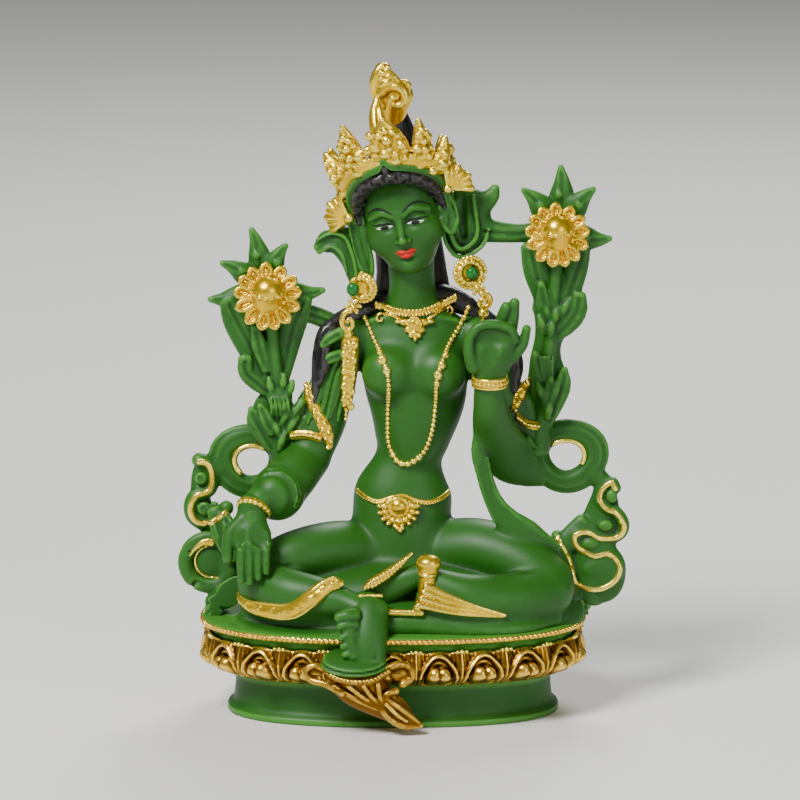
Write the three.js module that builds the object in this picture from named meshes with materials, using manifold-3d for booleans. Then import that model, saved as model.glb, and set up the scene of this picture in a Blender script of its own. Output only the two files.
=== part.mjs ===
// A seated tara figure cast in one piece with its oval lotus plinth, in millimetres.
// X is to the viewer's right, the figure faces -Y and Z is up. The origin is the centre of the underside.
import * as THREE from "three";
import { mergeVertices } from "three/addons/utils/BufferGeometryUtils.js";
import Module from "manifold-3d";

const wasm = await Module();
wasm.setup();

// The plinth: a foot block, a ring of lotus petals, a narrow neck and the seat plate.
const PLINTH_WIDTH = 88;
const PLINTH_DEPTH = 54;
const PLINTH_CORNER = 2.4; // exponent of the oval outline: 2 is an ellipse, more is squarer
const FOOT_HEIGHT = 10.4;
const FOOT_INSET = 7.8;
const FOOT_LIP = 1.6;
const FOOT_LIP_HEIGHT = 2.6;
const PETAL_RING_HEIGHT = 8.3;
const PETAL_RELIEF = 0.8;
const PETAL_COUNT = 24;
const NECK_HEIGHT = 1.6;
const NECK_INSET = 2.6;
const PLATE_THICKNESS = 1.7;
const SEAT = FOOT_HEIGHT + PETAL_RING_HEIGHT + NECK_HEIGHT + PLATE_THICKNESS;

// The figure's points and radii are shares of its height: one unit is a 128th of it.
const FIGURE_HEIGHT = 128;
const FIGURE_UNITS = 128;
const unit = FIGURE_HEIGHT / FIGURE_UNITS;
const FRONT = new THREE.Vector3(0, -1, 0);
const UP = new THREE.Vector3(0, 0, 1);

// The figure's frame stands on the seat plate. The head's own frame is tilted in it.
const figureFrame = new THREE.Matrix4()
  .makeTranslation(0, 0, SEAT)
  .scale(new THREE.Vector3(unit, unit, unit));
const HEAD_CENTRE = [2.5, 0, 92.1];
const HEAD_ROLL = -13;
const HEAD_NOD = 8;
const HEAD_TURN = -8;
const headFrame = new THREE.Matrix4()
  .makeTranslation(...HEAD_CENTRE)
  .multiply(new THREE.Matrix4().makeRotationY(THREE.MathUtils.degToRad(HEAD_ROLL)))
  .multiply(new THREE.Matrix4().makeRotationX(THREE.MathUtils.degToRad(HEAD_NOD)))
  .multiply(new THREE.Matrix4().makeRotationZ(THREE.MathUtils.degToRad(HEAD_TURN)));

const vector = ([x, y, z]) => new THREE.Vector3(x, y, z);

// A closed skin over rings of equal count, closed by a point at each end.
function skin(rings, first, last) {
  const count = rings[0].length;
  const points = [first, ...rings.flat(), last];
  const faces = [];
  const at = (ring, i) => 1 + ring * count + ((i + count) % count);
  const end = rings.length - 1;
  for (let i = 0; i < count; i++) {
    faces.push(0, at(0, i + 1), at(0, i));
    for (let r = 0; r < end; r++) {
      faces.push(at(r, i), at(r, i + 1), at(r + 1, i + 1));
      faces.push(at(r, i), at(r + 1, i + 1), at(r + 1, i));
    }
    faces.push(points.length - 1, at(end, i), at(end, i + 1));
  }
  return new THREE.BufferGeometry().setFromPoints(points).setIndex(faces);
}

// A rounded tube through stations [x, y, z, half width, half depth]. A blunt one has fuller ends.
// The depth lies towards the facing direction, which may depend on the point.
function limb(stations, { sides = 5, steps = 3, facing = FRONT, cap = 0.7, blunt = sides > 6 } = {}) {
  const centres = new THREE.CatmullRomCurve3(stations.map(vector), false, "centripetal");
  const radii = new THREE.CatmullRomCurve3(
    stations.map((s) => new THREE.Vector3(s[3], s[4] ?? s[3], 0)),
    false,
    "centripetal",
  );
  const ring = (t, along, scale) => {
    const tangent = centres.getTangent(t);
    const centre = centres.getPoint(t);
    const radius = radii.getPoint(t);
    const front = facing instanceof THREE.Vector3 ? facing : facing(centre);
    const side = new THREE.Vector3().crossVectors(tangent, front).normalize();
    const depth = new THREE.Vector3().crossVectors(tangent, side);
    centre.addScaledVector(tangent, Math.min(radius.x, radius.y) * along);
    if (!scale) return centre;
    return Array.from({ length: sides }, (_, i) => {
      const angle = ((i + 0.5) / sides) * 2 * Math.PI;
      return centre
        .clone()
        .addScaledVector(side, radius.x * scale * Math.cos(angle))
        .addScaledVector(depth, radius.y * scale * Math.sin(angle));
    });
  };
  const rings = Array.from({ length: steps + 1 }, (_, i) => ring(i / steps, 0, 1));
  if (blunt) {
    rings.unshift(ring(0, -cap * 0.7, 0.72));
    rings.push(ring(1, cap * 0.7, 0.72));
  }
  return skin(rings, ring(0, -cap, 0), ring(1, cap, 0));
}

// An ellipsoid with its own tilt, in degrees about X, Y and Z.
function blob([x, y, z], [rx, ry, rz], { tilt = [0, 0, 0], round = 8, high = 5 } = {}) {
  const turn = new THREE.Euler(...tilt.map(THREE.MathUtils.degToRad));
  return new THREE.SphereGeometry(1, round, high)
    .rotateX(Math.PI / 2)
    .scale(rx, ry, rz)
    .applyMatrix4(new THREE.Matrix4().makeRotationFromEuler(turn))
    .translate(x, y, z);
}

// A round flower head about its own +Z: a dome in a ring of petals on a flat back.
function flowerHead({ radius, dome, petals, thick = 1.8, relief = 0.9 }) {
  const count = petals * 2;
  const circle = (share, height, valley) =>
    Array.from({ length: count }, (_, i) => {
      const reach = i % 2 ? share * (1 - valley) : share;
      const angle = (i / count) * 2 * Math.PI;
      const drop = i % 2 ? valley * relief : 0;
      return new THREE.Vector3(reach * Math.cos(angle), reach * Math.sin(angle), height - drop);
    });
  const rings = [
    circle(radius * 0.85, -thick, 0),
    circle(radius, 0, 0.2),
    circle(dome * 1.1, relief * 0.6, 0),
    circle(dome * 0.85, dome * 0.62, 0),
  ];
  return skin(rings, new THREE.Vector3(0, 0, -thick), new THREE.Vector3(0, 0, dome * 0.75));
}

// Turns a geometry built about +Z to look along a direction, and puts it in place.
function aimed(geometry, place, direction) {
  const turn = new THREE.Quaternion().setFromUnitVectors(UP, vector(direction).normalize());
  return geometry.applyQuaternion(turn).translate(...place);
}

// A point of the plinth's oval, a share of the way round, taken in by an inset.
function ovalPoint(share, inset) {
  const angle = share * 2 * Math.PI;
  const power = 2 / PLINTH_CORNER;
  const c = Math.cos(angle);
  const s = Math.sin(angle);
  return [
    Math.sign(c) * Math.abs(c) ** power * (PLINTH_WIDTH / 2 - inset),
    Math.sign(s) * Math.abs(s) ** power * (PLINTH_DEPTH / 2 - inset),
  ];
}

// Shares of the turn that step evenly along the oval's rim.
function evenShares(count) {
  const fine = 720;
  const lengths = [0];
  for (let i = 1; i <= fine; i++) {
    const [ax, ay] = ovalPoint((i - 1) / fine, 0);
    const [bx, by] = ovalPoint(i / fine, 0);
    lengths.push(lengths[i - 1] + Math.hypot(bx - ax, by - ay));
  }
  return Array.from({ length: count }, (_, k) => {
    const wanted = (k / count) * lengths[fine];
    const above = lengths.findIndex((length) => length > wanted);
    const below = above - 1;
    return (below + (wanted - lengths[below]) / (lengths[above] - lengths[below])) / fine;
  });
}

// A slab of the plinth through levels [height, inset], or [height, inset, petal share].
function ovalSlab(levels, count) {
  const shares = evenShares(count);
  const perPetal = count / PETAL_COUNT;
  const rings = levels.map(([height, inset, lobe = 0]) =>
    shares.map((share, i) => {
      const arch = Math.abs(Math.cos((i / perPetal) * Math.PI));
      const [x, y] = ovalPoint(share, inset + PETAL_RELIEF * lobe * (1 - arch));
      return new THREE.Vector3(x, y, height);
    }),
  );
  const low = levels[0][0];
  const high = levels[levels.length - 1][0];
  return skin(rings, new THREE.Vector3(0, 0, low), new THREE.Vector3(0, 0, high));
}

function plinth() {
  const ringTop = FOOT_HEIGHT + PETAL_RING_HEIGHT;
  const plateLow = SEAT - PLATE_THICKNESS;
  const sunk = 0.5; // each slab reaches this far into the one below
  const foot = ovalSlab(
    [
      [0, FOOT_INSET - FOOT_LIP],
      [FOOT_LIP_HEIGHT * 0.6, FOOT_INSET - FOOT_LIP],
      [FOOT_LIP_HEIGHT, FOOT_INSET],
      [FOOT_HEIGHT + sunk, FOOT_INSET],
    ],
    30,
  );
  const petals = ovalSlab(
    [
      [FOOT_HEIGHT, FOOT_INSET * 0.6],
      [FOOT_HEIGHT + PETAL_RING_HEIGHT * 0.3, FOOT_INSET * 0.12, 0.7],
      [FOOT_HEIGHT + PETAL_RING_HEIGHT * 0.75, -0.4, 1],
      [ringTop, 0.8, 1],
    ],
    PETAL_COUNT * 2,
  );
  const neck = ovalSlab(
    [
      [ringTop - sunk, NECK_INSET],
      [plateLow + sunk, NECK_INSET],
    ],
    24,
  );
  const plate = ovalSlab(
    [
      [plateLow, 0.9],
      [plateLow + PLATE_THICKNESS * 0.5, 0],
      [SEAT, 0.7],
    ],
    32,
  );
  return [foot, petals, neck, plate];
}

// The trunk's stations from the seat to the neck: [x, y, z, half width, half depth].
const TRUNK = [
  [1.2, 3, 6, 14, 11],
  [1.8, 3.2, 14, 12.6, 10],
  [2, 3.2, 22, 11.3, 8.8],
  [2.4, 3.2, 28, 11, 7.6],
  [4.2, 3.2, 35, 8.1, 6],
  [4.9, 3, 40, 9, 6.4],
  [5.3, 2.8, 49, 11.2, 7.6],
  [4.9, 2.8, 57, 12.3, 7.6],
  [4.5, 3.2, 63, 13.8, 6.6],
  [4.5, 3.4, 67.5, 12.6, 5.2],
  [4.5, 3.3, 70.6, 7.4, 4.9],
  [4.4, 3, 74, 4.9, 4.7],
  [3.9, 2.4, 82, 4.8, 4.8],
];
const BREAST_HEIGHT = 55.6;
const BREAST_DEPTH = -3.4;
const BREAST_SIZE = [5.1, 3.9, 4.9];
const BREASTS = [-0.6, 10.6];

// How far forward the chest or belly lies at a place on it.
function bodyFront(x, z) {
  const above = TRUNK.findIndex((station) => station[2] > z);
  const mix = (z - TRUNK[above - 1][2]) / (TRUNK[above][2] - TRUNK[above - 1][2]);
  const [cx, cy, , a, b] = TRUNK[above].map((value, i) => value * mix + TRUNK[above - 1][i] * (1 - mix));
  const bulge = (dx, dz) => Math.sqrt(Math.max(0, 1 - dx * dx - dz * dz));
  const trunk = cy - b * bulge((x - cx) / a, 0);
  const breasts = BREASTS.map((bx) => {
    const swell = bulge((x - bx) / BREAST_SIZE[0], (z - BREAST_HEIGHT) / BREAST_SIZE[2]);
    return swell > 0 ? BREAST_DEPTH - BREAST_SIZE[1] * swell : trunk;
  });
  return Math.min(trunk, ...breasts);
}

function torso() {
  const trunk = limb(TRUNK, { sides: 10, steps: 11, cap: 0.4 });
  const breasts = BREASTS.map((x) => blob([x, BREAST_DEPTH, BREAST_HEIGHT], BREAST_SIZE));
  const lap = limb([
    [-24, -4, 5, 5.5, 10],
    [2, -3, 6.5, 7, 12],
    [30, -4, 5, 5.5, 10],
  ], { sides: 7, blunt: false });
  const seatCloth = blob([2, 8, 3.5], [25, 10, 7], { round: 10 });
  return [trunk, ...breasts, lap, seatCloth];
}

function legs() {
  const leg = (stations, steps) => limb(stations, { sides: 8, steps, facing: UP });
  return [
    leg([[-3, 3, 12.5, 7.6], [-13, -2, 14.8, 6.9], [-22, -6, 14.4, 6.2], [-29.5, -8, 11.4, 5.7]], 4),
    leg([
      [-29.8, -10, 9.4, 5.6],
      [-23, -15.5, 8.2, 5.5],
      [-15.5, -18.5, 7.6, 4.4],
      [-9.6, -21, 6.6, 3.1],
      [-6.2, -23, 5.2, 3.2],
    ], 5),
    leg([[8, 3, 12.8, 7.8], [20, -2, 15, 7.2], [29.5, -6, 12.6, 6.6], [35, -8.5, 9.2, 6]], 4),
    leg([
      [35, -10, 7.4, 6],
      [27, -15, 6.6, 5.9],
      [17.5, -18, 8, 5],
      [10, -18, 11, 3.3],
      [7, -17, 12, 3],
    ], 5),
  ];
}

// A foot from heel to ball, with toes side by side across its end where they show.
function foot(heel, ball, across, halfWidth, toeCount) {
  const along = vector(ball).sub(vector(heel)).normalize();
  const facing = vector(across).cross(along);
  const sole = limb([[...heel, 2.7, 2.7], [...ball, halfWidth, 1.9]], { sides: 6, steps: 2, facing });
  const toes = Array.from({ length: toeCount }, (_, i) => {
    const place = i - (toeCount - 1) / 2;
    const root = vector(ball).addScaledVector(vector(across), place * 0.42 * halfWidth);
    const tip = root.clone().addScaledVector(along, 2.4 - 0.25 * place);
    return limb([[...root.toArray(), 0.85], [...tip.toArray(), 0.65]], { sides: 4, steps: 1, facing });
  });
  return [sole, ...toes];
}

function feet() {
  return [
    ...foot([-3.6, -24.2, 5.4], [-7.2, -29, 1.6], [0.3, -0.35, 0.88], 3.2, 5),
    ...foot([5.6, -17, 12.6], [-2.4, -17.4, 8.6], [0.2, 0.75, 0.62], 2.9, 0),
  ];
}

function arms() {
  const rightUpper = limb([
    [-9.5, 3, 64, 4.4],
    [-13.2, 3, 55, 4.8],
    [-15.8, 2.2, 45, 5.6],
    [-19.4, 0.2, 36.4, 5.3],
  ], {
    sides: 7,
    steps: 4,
    blunt: false,
  });
  const rightSleeve = limb([
    [-19.4, 0.2, 36, 5.2],
    [-23.4, -4.5, 33, 6],
    [-26.2, -8, 31.4, 6.5],
  ], { sides: 8, steps: 2, cap: 0.25 });
  const rightFold = limb([
    [-21.8, -3.4, 33.6, 6.6],
    [-23, -4.8, 32.8, 6.6],
  ], { sides: 8, steps: 1, cap: 0.1, blunt: false });
  const rightWrist = limb([
    [-25.4, -7.5, 31.6, 4.4],
    [-29.6, -11.4, 29.2, 4],
    [-31.4, -13, 26.8, 3.1],
    [-31.8, -14, 24.4, 3],
  ], { sides: 7 });
  const leftUpper = limb([
    [18.4, 3, 64, 4.5],
    [22.6, 3, 55, 5.2],
    [25.6, 1.6, 46, 5.6],
    [25.4, -1.5, 38, 4.8],
    [22.6, -4.6, 36.4, 4.2],
  ], {
    sides: 7,
    steps: 4,
    blunt: false,
  });
  const leftForearm = limb([
    [22.8, -4.6, 37, 4.4],
    [22.2, -8, 44, 4.2],
    [21.9, -10.8, 50, 3.9],
    [21.5, -12.6, 56, 3.4],
  ], { sides: 7, blunt: false });
  return [rightUpper, rightSleeve, rightFold, rightWrist, leftUpper, leftForearm];
}

// A finger through three joints, thinning towards its tip.
function finger(joints, radius) {
  const stations = joints.map((joint, i) => [...joint, radius * (1 - 0.13 * i)]);
  return limb(stations, { sides: 4, steps: 2, cap: 0.5 });
}

function hands() {
  const givingPalm = limb([
    [-31.8, -14.2, 25, 3.1, 2],
    [-31.4, -15.8, 21.6, 4.2, 2.1],
    [-30.8, -17, 18.4, 4, 1.9],
  ], { sides: 6, steps: 2 });
  const givingFingers = [-33.5, -31.5, -29.5, -27.6].map((x, i) =>
    finger([[x, -17, 19], [x - 0.2, -17.9, 15.6], [x - 0.1, -18, 12.2 + 0.9 * Math.abs(i - 1)]], 1.2),
  );
  const givingThumb = finger([[-34.4, -14.6, 24.2], [-36.4, -15.4, 20.2], [-36.2, -16, 15.6]], 1.7);
  const raisedPalm = limb([
    [21.6, -12.8, 57, 3.3, 2.4],
    [22.6, -13.6, 62, 4.9, 2.3],
    [22.8, -14, 67, 5.4, 2],
  ], { sides: 6, steps: 2 });
  const raisedFingers = [
    finger([[24, -14, 68.5], [24.9, -13.6, 72], [25.6, -13.4, 75.6]], 1.3),
    finger([[25.6, -14, 68], [27.2, -13.8, 71.6], [28, -13.6, 75]], 1.3),
    finger([[27, -13.6, 64], [29.4, -13.8, 66.6], [30.4, -14, 70]], 1.2),
    finger([[21.6, -14, 69.4], [21, -17, 70.6], [20.4, -18.4, 67.6]], 1.2),
    finger([[18.8, -14, 62], [17.8, -16.6, 65.6], [19.8, -18, 67.4]], 1.3),
  ];
  return [givingPalm, ...givingFingers, givingThumb, raisedPalm, ...raisedFingers];
}

// The head in its own frame: chin down, face towards -Y.
const EYE_LEVEL = 0.9;
const NOSE_BASE = -4;
const MOUTH_LEVEL = -6.3;
const CHIN_LEVEL = -10.6;
const HAIRLINE = 9.6;

function face() {
  const cranium = blob([0, 1.4, 3.6], [8.8, 9.9, 9.6], { round: 10, high: 7 });
  const cheeks = blob([0, -1.1, -2.2], [7.8, 8.3, 8.4], { round: 10, high: 6 });
  const chin = blob([0, -4.6, CHIN_LEVEL + 3.2], [3.9, 4, 3.3], { round: 8 });
  const nose = limb([
    [0, -9, EYE_LEVEL + 1, 0.75, 0.8],
    [0, -9.9, NOSE_BASE + 0.8, 1.5, 1.2],
  ], { sides: 4, steps: 1 });
  const lips = blob([0, -8.4, MOUTH_LEVEL], [1.9, 1.1, 1], { round: 6 });
  const sides = [-1, 1].flatMap((side) => [
    blob([side * 3.4, -7.7, EYE_LEVEL], [2, 1.2, 1.1], { round: 6, high: 4 }),
    limb([
      [side * 8.6, 0.6, 4, 1.7, 0.9],
      [side * 8.8, 0.8, -2, 1.6, 0.9],
      [side * 8.6, 0, -8, 1.5, 0.9],
    ], {
      steps: 2,
      facing: new THREE.Vector3(side, 0, 0),
    }),
  ]);
  return [cranium, cheeks, chin, nose, lips, ...sides];
}

const awayFromHead = (point) => new THREE.Vector3(point.x, point.y - 1.5, 0).normalize();

function hair() {
  const half = [
    [4.6, -7.4, HAIRLINE - 0.4, 1.8, 1.4],
    [8, -4, HAIRLINE - 5.4, 1.8, 1.3],
    [8.8, -1.6, -1.6, 0.9, 1],
  ];
  const mirrored = half.map(([x, ...rest]) => [-x, ...rest]).reverse();
  const top = [0, -8.6, HAIRLINE + 1.2, 1.9, 1.4];
  const arch = limb([...mirrored, top, ...half], { steps: 8, facing: awayFromHead });
  const cap = blob([0, 3.2, 5], [9.6, 9.6, 10.4], { round: 10, high: 6 });
  const topknot = limb([
    [0, 2.4, 12, 5.6, 5.6],
    [0.3, 2.4, 18, 4.8, 4.8],
    [1.2, 2.2, 23, 3.4, 3.4],
  ], { sides: 7, steps: 2 });
  return [arch, cap, topknot];
}

// A place on the crown, an angle round from the brow, some way above the band's lower edge.
function crownPlace(degrees, above, outset = 0) {
  const angle = THREE.MathUtils.degToRad(degrees);
  const reach = 11 + outset + above * 0.14;
  return [reach * Math.sin(angle), 1.6 - reach * Math.cos(angle), 4.4 + 11 * Math.cos(angle) + above];
}

function crown() {
  const band = limb([-86, -58, -29, 0, 29, 58, 86].map((a) => [...crownPlace(a, 1.4), 2.2, 0.9]), {
    sides: 4,
    steps: 9,
    facing: awayFromHead,
  });
  const leaf = (degrees, height) =>
    limb(
      [
        [...crownPlace(degrees, 1.5), 2.8, 1.1],
        [...crownPlace(degrees, height * 0.4), 3, 1.2],
        [...crownPlace(degrees, height * 0.75), 1.8, 1],
        [...crownPlace(degrees, height), 0.6, 0.5],
      ],
      { sides: 4, steps: 3, facing: awayFromHead },
    );
  const leaves = [
    [-2, 11.4],
    [-40, 12.2],
    [42, 11.8],
    [-76, 10.6],
    [72, 8.8],
  ].map(([angle, height]) => leaf(angle, height));
  const fans = [-1, 1].map((side) =>
    aimed(
      flowerHead({ radius: 4.7, dome: 1.3, petals: 6, thick: 1.5, relief: 0.7 }),
      [side * 13.6, -0.6, 4.6],
      [side * 0.5, -0.85, 0.1],
    ),
  );
  const finial = limb(
    [
      [-0.2, 1.4, 18, 2.6],
      [1.4, 1.4, 22.6, 2],
      [3.9, 1.6, 26.8, 4, 3.2],
      [3.8, 1.6, 30, 4, 3.2],
      [2.6, 1.6, 33.2, 2.5, 2],
      [2.8, 1.6, 35.4, 1.4, 1.2],
    ],
    { sides: 6, steps: 6 },
  );
  const jewelLeaf = limb([
    [-1, -1.6, 18, 1.7, 1.6],
    [-1.9, -1, 22.4, 1.8, 1.6],
    [-2, 0, 26, 0.8, 0.8],
  ], { sides: 4, steps: 2 });
  return [band, ...leaves, ...fans, finial, jewelLeaf];
}

// Hair that falls over the shoulders and down the back.
function locks() {
  const lock = (stations) => limb(stations, { sides: 4, steps: 4 });
  return [
    lock([
      [-2, 5.4, 72, 2.2, 1.8],
      [-12, 3.6, 68, 1.9, 1.7],
      [-17, 1, 63.5, 1.8, 1.6],
      [-17.6, -0.6, 56, 1.6, 1.4],
      [-16.4, -0.8, 48, 1.1, 1],
    ]),
    lock([
      [10, 5.4, 72, 2.2, 1.8],
      [20, 4.4, 68.5, 1.9, 1.7],
      [26, 2, 63.5, 1.8, 1.6],
      [28.4, 0, 57, 1.6, 1.4],
      [27, -1.5, 51, 1, 1],
    ]),
    limb([
      [2.4, 7, 90, 7.4, 4.2],
      [4.2, 7.4, 78, 7.8, 4],
      [4.5, 8.6, 66, 9.4, 3],
      [4.6, 9.6, 54, 8, 2.2],
      [4.6, 9, 45, 3.4, 1.6],
    ], {
      sides: 7,
      steps: 5,
    }),
  ];
}

// Ribbons that flare from behind both ears, and the tie to the taller flower.
function earRibbons() {
  return [
    limb([[-7.4, 1, 89, 2.6, 1.6], [-12.4, 1, 88, 2.8, 1.5], [-16.4, 1.5, 85.8, 3.2, 1.2]]),
    limb([
      [-14.6, 1.4, 85.8, 1.5, 1.4],
      [-10.6, 0.6, 84.6, 2.2, 1.5],
      [-8.2, 0, 81, 2.2, 1.5],
      [-7, 0.6, 76.6, 1.8, 1.8],
    ], { sides: 4 }),
    limb([
      [12, 1.6, 95.4, 2.2, 2],
      [15, 1, 88, 3.2, 2.2],
      [17.4, 0.4, 83, 2.6, 2.4],
      [19.8, 1, 87, 3, 2.2],
      [20.4, 1.4, 92.4, 2.6, 1.8],
      [22.4, 2, 96, 1.6, 1.3],
    ], {
      steps: 7,
    }),
    limb([[20, 1.5, 87.4, 2.8, 1.5], [26, 1.2, 87.4, 2.6, 1.4], [33, 0.4, 87, 3, 1.5]], { steps: 2 }),
    limb([
      [-26, 0.6, 69.6, 2.8, 1.4],
      [-19.4, 0.6, 69.4, 2.2, 1.3],
      [-12, 2.4, 66, 2.2, 1.6],
    ], { steps: 2 }),
  ];
}

// A flower on its stalk: the head, a star of pointed leaves behind it and broad leaves down the stalk.
function flower({ centre, radius, tips, stalk, leaves }) {
  const [x, y, z] = centre;
  const head = aimed(flowerHead({ radius, dome: radius * 0.46, petals: 8 }), centre, [0, -0.97, 0.24]);
  const outline = tips.flatMap(([tipX, tipZ], i) => {
    const [nextX, nextZ] = tips[(i + 1) % tips.length];
    return [[tipX, tipZ], [x + (tipX + nextX - 2 * x) * 0.26, z + (tipZ + nextZ - 2 * z) * 0.26]];
  });
  const layer = (depth) => outline.map(([ox, oz]) => new THREE.Vector3(ox, y + depth, oz));
  const back = new THREE.Vector3(x, y + 4.4, z);
  const front = new THREE.Vector3(x, y + 0.6, z);
  const star = skin([layer(3.6), layer(2.4)], back, front);
  const stem = limb(stalk, { sides: 4, steps: stalk.length - 1 });
  const blades = leaves.map((blade) => limb(blade, { sides: 3, steps: 2 }));
  return [head, star, stem, ...blades];
}

function flowers() {
  return [
    ...flower({
      centre: [-29, -5, 75.1],
      radius: 8,
      tips: [[-15.6, 75.2], [-23.4, 85], [-32, 89.4], [-40.8, 82], [-42.2, 73.6], [-36, 67], [-23, 67]],
      stalk: [
        [-28.9, -1.6, 72, 8.2, 1.7],
        [-28.6, -1, 65, 6.8, 1.9],
        [-28.6, -0.4, 60, 5.8, 2],
        [-27.6, 0.4, 55.4, 4.8, 2.1],
        [-26.4, 0.6, 51.8, 2.8, 2.1],
        [-27, 0.4, 47, 5.8, 2.2],
        [-26.6, 0.4, 43, 5.4, 2.3],
        [-25, 0.4, 37.6, 3, 2.4],
      ],
      leaves: [
        [[-36.4, -2, 71, 1.4, 1], [-33.4, -2, 64, 2.6, 1.6], [-29.4, -1.6, 55, 1.2, 1.2]],
        [[-21.4, -2, 71, 1.4, 1], [-23.4, -2, 64.6, 2.4, 1.6], [-27.6, -1.6, 56, 1.2, 1.2]],
      ],
    }),
    ...flower({
      centre: [37.2, -5, 88.5],
      radius: 7.2,
      tips: [[49, 86.8], [45, 98.2], [37.7, 103], [29.4, 98], [30, 84], [43, 80]],
      stalk: [
        [36.8, -1.8, 85, 8, 1.6],
        [36.6, -1.4, 78.6, 6.4, 1.9],
        [35.9, -0.8, 75.6, 4.6, 2],
        [37, -0.4, 70.4, 5.9, 2],
        [35.2, 0.2, 63.4, 3.1, 2.1],
        [34.6, 0.6, 58.8, 3.2, 2.2],
        [34.4, 0.8, 53.4, 4.8, 2.3],
        [33.6, 1, 44, 2.8, 2.4],
        [32.6, 1.4, 38.6, 3.2, 2.4],
      ],
      leaves: [
        [[30, -2.2, 83.4, 1.8, 1.1], [32.4, -2.2, 76, 2.4, 1.6], [35.4, -1.6, 66, 1.2, 1.2]],
        [[42.6, -2.4, 82, 1.4, 1], [40.4, -2.4, 75, 2.6, 1.6], [37, -1.8, 65, 1.2, 1.2]],
      ],
    }),
  ];
}

// Scarf ends: on each side a large open loop, a run of small folds and a lower loop by the knee.
function scarves() {
  const loop = ([x, y, z], [rx, rz], [width, depth], [from, to], steps) =>
    limb(
      Array.from({ length: 9 }, (_, i) => {
        const angle = THREE.MathUtils.degToRad(from + ((to - from) * i) / 8);
        return [x + rx * Math.cos(angle), y, z + rz * Math.sin(angle), width, depth];
      }),
      { sides: 4, steps },
    );
  const leftOfPhoto = [
    loop([-32.4, 3, 34.8], [6.4, 5.6], [2.4, 1.9], [-60, 240], 9),
    limb([
      [-38, 3, 33.4, 2, 1.6],
      [-42.6, 3, 33.6, 2.4, 1.7],
      [-44, 3, 27, 2.3, 1.9],
      [-43, 2.6, 20.6, 3.2, 2],
      [-37, 1.4, 18.4, 3.2, 2.2],
      [-35.6, 0.6, 11, 3.2, 2.6],
      [-37.4, 1.4, 0.6, 2.8, 2.4],
    ], {
      steps: 8,
    }),
    blob([-42.6, 2.2, 11.6], [6.4, 2.4, 7.4], { round: 9 }),
  ];
  const rightOfPhoto = [
    loop([39.4, 3, 36], [6.4, 5.6], [2.3, 1.9], [-190, 170], 9),
    limb([
      [44.6, 3, 33.4, 2.6, 1.8],
      [46.4, 3, 28, 3.6, 1.9],
      [47, 2.8, 21, 6.2, 2],
      [45.8, 2.4, 15.6, 5.4, 2.2],
      [46, 2, 9, 5.4, 2.3],
      [44.6, 2, 3.4, 4.4, 2.4],
    ], {
      steps: 7,
    }),
    limb([[37, -1, 12, 3.6, 3], [41, 1, 2, 3, 2.4]], { sides: 4, steps: 1 }),
    blob([48, 2, 8.6], [5.6, 2.4, 7.2], { round: 9 }),
  ];
  return [...leftOfPhoto, ...rightOfPhoto];
}

// The sleeve end that falls from the raised arm to the knee.
function sleeveFall() {
  return [
    limb([
      [21.4, -2.4, 38.6, 2.6, 1.5],
      [22.8, -4.4, 31, 2.7, 1.3],
      [25.4, -6, 24, 3.8, 1.4],
      [29, -7, 18, 6, 1.6],
    ], { sides: 6, steps: 4 }),
    limb([
      [24.4, -1, 33.6, 1.3, 1.2],
      [28, -3.6, 26.4, 1.6, 1.2],
      [33.6, -5.4, 19.4, 2.2, 1.3],
    ], { sides: 4, steps: 2 }),
  ];
}

// A string of gold through the given points.
function string(points, radius, steps = 2) {
  return limb(points.map((point) => [...point, radius]), { sides: 3, steps });
}

// A string of gold that lies on the body, given by where it hangs.
function worn(places, radius, steps) {
  return string(places.map(([x, z]) => [x, bodyFront(x, z) - radius * 0.35, z]), radius, steps);
}

function jewellery() {
  const rosette = (place, radius, direction = [0, -1, 0]) => {
    const head = flowerHead({ radius, dome: radius * 0.45, petals: 5, thick: 1.4, relief: 0.5 });
    return aimed(head, place, direction);
  };
  return [
    worn([[-3.4, 70.2], [4.4, 68.2], [12.6, 70.2]], 1, 4),
    worn([[-8.4, 27.8], [-4.4, 27.2], [2, 28.8], [8.4, 27.4], [13, 28]], 1, 4),
    rosette([4.4, -3.2, 66], 2.9),
    rosette([2, -5.8, 25], 3.1),
    rosette([-6.4, -1, 75.6], 3, [-0.35, -0.9, 0]),
    rosette([16.2, -1.6, 79], 3.3, [0.25, -0.95, 0]),
    limb([
      [-7, -0.6, 74, 1.6, 1.6],
      [-10, -1.6, 68, 1.6, 1.6],
      [-10, -2.4, 58, 2, 1.8],
      [-10, -1.6, 50, 1, 1],
    ], { sides: 4 }),
    string([[16.6, -0.8, 78], [19, -1.6, 73], [19.8, -0.6, 66]], 1.7),
    string([[-34.4, -12.8, 27], [-31.6, -16, 26], [-28.4, -13.2, 25.6]], 1.2),
    string([[18.2, -13, 55.6], [21.6, -16, 54.8], [24.9, -13, 55.8]], 1.2),
  ];
}

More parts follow.
